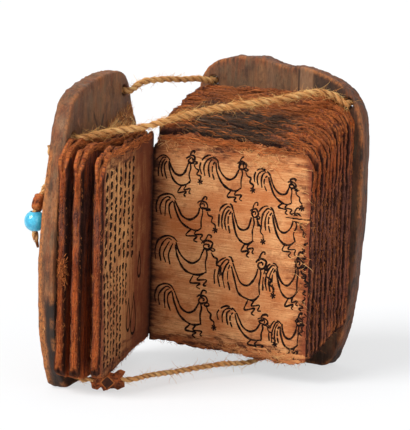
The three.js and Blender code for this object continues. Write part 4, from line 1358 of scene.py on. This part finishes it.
def make_fluff():
    """Torn golden fibre: a scrap on the leaf beside the front board, and slivers at the board's lower edge."""
    rng = np.random.default_rng(31)
    leaf, board = LAST_FRONT, FRONT_BOARD
    fluff, slivers = [], []
    for _ in range(190):
        z = rng.normal(52, 2.6)
        phi = rng.uniform(-0.2, 1.1)
        out = leaf.along * np.cos(phi) + leaf.across * np.sin(phi)
        fluff.append((leaf.at(leaf.fold_centre, 0, z) + out * (leaf.fore_half + 0.05),
                      out * rng.uniform(0.1, 0.8) + leaf.across * rng.normal(0, 0.5) + UP * rng.normal(0, 1.6)))
    for _ in range(70):
        z = rng.normal(37, 4)
        slivers.append((board.at(81.4 + 0.055 * (z - 18), rng.uniform(4.0, 5.2), z),
                        board.along * rng.uniform(0, 0.6) + UP * rng.uniform(-5, 3)))
    for _ in range(240):
        x = rng.uniform(3, 30)
        z = 101.5 + rng.uniform(0, 1) ** 1.5 * (12 - 0.25 * x)
        turn = rng.normal(0.75, 0.45)
        slivers.append((board.at(x, -0.1, z),
                        (board.along * -np.cos(turn) + UP * np.sin(turn)) * rng.uniform(1.5, 5)
                        + board.across * rng.uniform(-0.4, 0)))
    for name, pairs, material, slot in (("front_leaf_3_fluff", fluff, BARK_FIBRE, "bark"),
                                        ("front_board_slivers", slivers, GOLD_FIBRE, "board_wood")):
        roots, heads = zip(*pairs)
        many = len(pairs)
        place(add_mesh(name, material, *hair_mesh(roots, heads, rng.normal(0, 0.5, (many, 3)),
                                                  rng.uniform(0.1, 0.22, many), rng.uniform(0, 1, many), 33)),
              "front_cover", slot)


def make_gutter():
    """The strip's own turn at the gutter, which closes the view between the two pages."""
    rows, low, high = 70, 12.2, 95.0
    start, end = (-0.35, -1.5), (1.9, 0.6)
    plan = catmull_rom([start, (-0.25, -0.5), (0.1, 0.3), (0.8, 0.55), end], 14)
    normal = np.gradient(plan, axis=0)
    normal = np.stack([-normal[:, 1], normal[:, 0]], axis=1)
    normal /= np.linalg.norm(normal, axis=1)[:, None]
    ring = np.vstack([plan, (plan + 0.45 * normal)[::-1]])
    x, y, z = ring[None, :, 0], ring[None, :, 1], np.linspace(low, high, rows)[:, None]
    wobble = 0.1 * ripple(40, x / 1.1, y / 1.1, z / 3.0)
    verts = stack(x + wobble + GUTTER[0], y + wobble + GUTTER[1], z).reshape(-1, 3)
    many = len(ring)
    faces = grid_faces(rows, many, wrap=True)
    faces += [tuple(range(many))[::-1], tuple((rows - 1) * many + i for i in range(many))]
    # Painted shade: the look's third channel, 0.7, darkens the whole gutter fold in the bark finish.
    piece = add_mesh("gutter_fold", BARK, verts, faces, verts, np.tile((0, 0, 0.7, 0.8), (len(verts), 1)))
    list(over_opening(part_point(*start, 50), part_point(*end, 50)))
    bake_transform(piece)


make_drawing()
make_text()
make_page_wear()
make_fluff()
make_gutter()


# ---- Bead, tab and toggle ----

# The toggle's outline seen along its cord's side: along the cord, and height
TOGGLE_OUTLINE = [(-7.4, 4.2), (-6.4, 1.6), (-4.4, 0.9), (-3.0, 1.9), (-1.4, 0.3), (1.4, 1.4), (4.4, 1.1), (7.3, 2.2),
                  (7.2, 4.4), (5.9, 6.2), (7.3, 8.8), (5.2, 9.7), (2.6, 8.3), (0.0, 8.9), (-3.6, 8.3), (-6.4, 7.2)]
TOGGLE_MIDDLE = (-0.2, 4.6)
TOGGLE_FACET, TOGGLE_FRONT, TOGGLE_BACK = 2.9, 2.9, 2.6
TOGGLE_AROUND, BEAD_AROUND, LUMP_ROWS, LUMP_AROUND = 112, 56, 18, 34
LUMP_POWER = 3.4


def make_bead():
    bore = CARRY_CORD_DIAMETER / 2 + 0.45
    half = np.arcsin(BEAD_HEIGHT / BEAD_DIAMETER)
    phi = np.linspace(-half, half, 34)
    r = np.concatenate([[bore], BEAD_DIAMETER / 2 * np.cos(phi), np.full(4, bore)])
    z = np.concatenate([[-BEAD_HEIGHT / 2 + 0.2], BEAD_DIAMETER / 2 * np.sin(phi), [BEAD_HEIGHT / 2 - 0.2],
                        np.linspace(2.4, -2.4, 3)])
    around = BEAD_AROUND
    theta = np.linspace(0, 2 * np.pi, around, endpoint=False)
    local = stack(r[:, None] * np.cos(theta), r[:, None] * np.sin(theta), z[:, None]).reshape(-1, 3)
    local *= (1 + 0.012 * noise(local / 2.6, 5))[:, None]
    last = (len(r) - 1) * around
    faces = grid_faces(len(r), around, wrap=True)
    faces += [(last + c, last + (c + 1) % around, (c + 1) % around, c) for c in range(around)]
    piece = add_mesh("turquoise_bead", GLASS, local + FRONT_BOARD.at(BEAD_FROM_SPINE, BEAD_LIFT, BEAD_Z), faces, local,
                     np.ones((len(local), 4)))
    return place(piece, "bead", "bead_glass", "bead")


def lump(gathered, centre, degrees, size, seed, crumple):
    """A closed rounded lump with creases, turned in the front board's face by some degrees."""
    turn = np.radians(degrees)
    x, y = FRONT_BOARD.along, FRONT_BOARD.across
    axes = np.array([x * np.cos(turn) + UP * np.sin(turn), y, -x * np.sin(turn) + UP * np.cos(turn)])
    u = np.linspace(-np.pi / 2, np.pi / 2, LUMP_ROWS + 2)[1:-1, None]
    w = np.linspace(0, 2 * np.pi, LUMP_AROUND, endpoint=False)
    cos_u, sin_u, cos_w, sin_w = (np.sign(v) * np.abs(v) ** (2 / LUMP_POWER)
                                  for v in (np.cos(u), np.sin(u), np.cos(w), np.sin(w)))
    shape = np.vstack([stack(cos_u * cos_w, cos_u * sin_w, sin_u).reshape(-1, 3), [(0, 0, -1)], [(0, 0, 1)]])
    local = shape * np.asarray(size)
    bent = 0.45 - 1.5 * np.abs(fractal(local / 3.4 + seed, seed, 2)) + 0.3 * noise(local / 0.8, seed + 9)
    local = local * (1 + crumple * bent)[:, None]
    gathered.add(centre + local @ axes, capped_faces(LUMP_ROWS, LUMP_AROUND), local + 20 * seed,
                 stack(smoothstep(0.0, 0.5, bent) * 0.8, 0, 0, 1))


def folded_hide(gathered):
    """A knot of folded hide: flat dark facet in front, creased lobes round it, closed behind."""
    around = TOGGLE_AROUND
    outline = evenly(np.array(TOGGLE_OUTLINE + TOGGLE_OUTLINE[:1]), around + 1)[:-1]
    offset = outline - TOGGLE_MIDDLE
    angle = np.arctan2(offset[:, 1], offset[:, 0])
    facet = TOGGLE_FACET / (np.abs(np.cos(angle)) + np.abs(np.sin(angle)))
    facet = np.stack([facet * np.cos(angle), facet * np.sin(angle)], axis=1)
    # Each ring's points, depth, worn edge and darkness
    rings = [(facet * s, -TOGGLE_FRONT + 0.25 * (1 - s), 1.3 * (s == 1.0), 1.0 if s < 1 else 0.2)
             for s in (0.35, 0.7, 0.93, 1.0)]
    for s in (0.12, 0.28, 0.45, 0.62, 0.78, 0.9, 0.97):
        lobe = 0.7 * np.sin(3 * angle + 0.6) * np.sin(np.pi * s)
        rings.append((facet + (offset - facet) * s, -TOGGLE_FRONT * (1 - s) ** 0.7 * (1 + 0.2 * lobe) - 0.35 * lobe,
                      0.9 * smoothstep(0.85, 0.97, s), 0.5 * smoothstep(0.2, 0.8, np.sin(2 * angle + 2.6))))
    rings += [(offset * s, TOGGLE_BACK * (1 - s ** 3), 0.5 * (s == 1.0), 0.3)
              for s in (1.0, 0.97, 0.85, 0.62, 0.35, 0.12)]
    flat, depth, edge, dark = (np.stack([np.broadcast_to(ring[k], np.shape(facet)[:2 - (k > 0)]) for ring in rings])
                               for k in range(4))
    mx, mz = TOGGLE_MIDDLE
    local = np.vstack([stack(flat[..., 0] + mx, depth, flat[..., 1] + mz).reshape(-1, 3),
                       (mx, -TOGGLE_FRONT + 0.3, mz), (mx, TOGGLE_BACK, mz)])
    local = local + 0.3 * stack(noise(local / 1.5, 71), noise(local / 1.2, 72), noise(local / 1.5, 73))
    local[:, 2] = np.maximum(local[:, 2], 0.1)
    look = stack(np.append(edge, (0, 0)), np.append(dark, (1, 0.3)), 0, 1)
    base = np.array([[np.cos(TOGGLE_TURN), np.sin(TOGGLE_TURN), 0], [-np.sin(TOGGLE_TURN), np.cos(TOGGLE_TURN), 0], UP])
    gathered.add(beside_toggle(0, 0) + local @ base, flipped(capped_faces(len(rings), around)), local, look)


bead = make_bead()
toggle = Gathered()
folded_hide(toggle)
toggle_piece = place(toggle.piece("toggle_hide", HIDE), "front_cover", "hide", "toggle")
tab = Gathered()
tab_centre = FRONT_BOARD.at(BEAD_FROM_SPINE - 1.4, BEAD_LIFT - 0.4,
                            BEAD_Z + BEAD_HEIGHT / 2 + TOUCH + TAB_HEIGHT / 2)
lump(tab, tab_centre, 30, (2.4, 2.0, 3.0), 6, 0.18)
lump(tab, tab_centre + FRONT_BOARD.along * -1.2 + UP * 1.4, 38, (2.0, 2.0, 2.4), 7, 0.2)
tab_piece = place(tab.piece("bead_tab_hide", HIDE), "front_cover", "hide", "bead_tab")
declare_cord(foot_cord[0], FOOT_LINE, FOOT_CORD_DIAMETER, "object", "taut", foot_cord[1], toggle_piece)
declare_cord(bead_cord[0], BEAD_LINE, CARRY_CORD_DIAMETER, "bare", "hanging", bead_cord[1], bead, tab_piece)
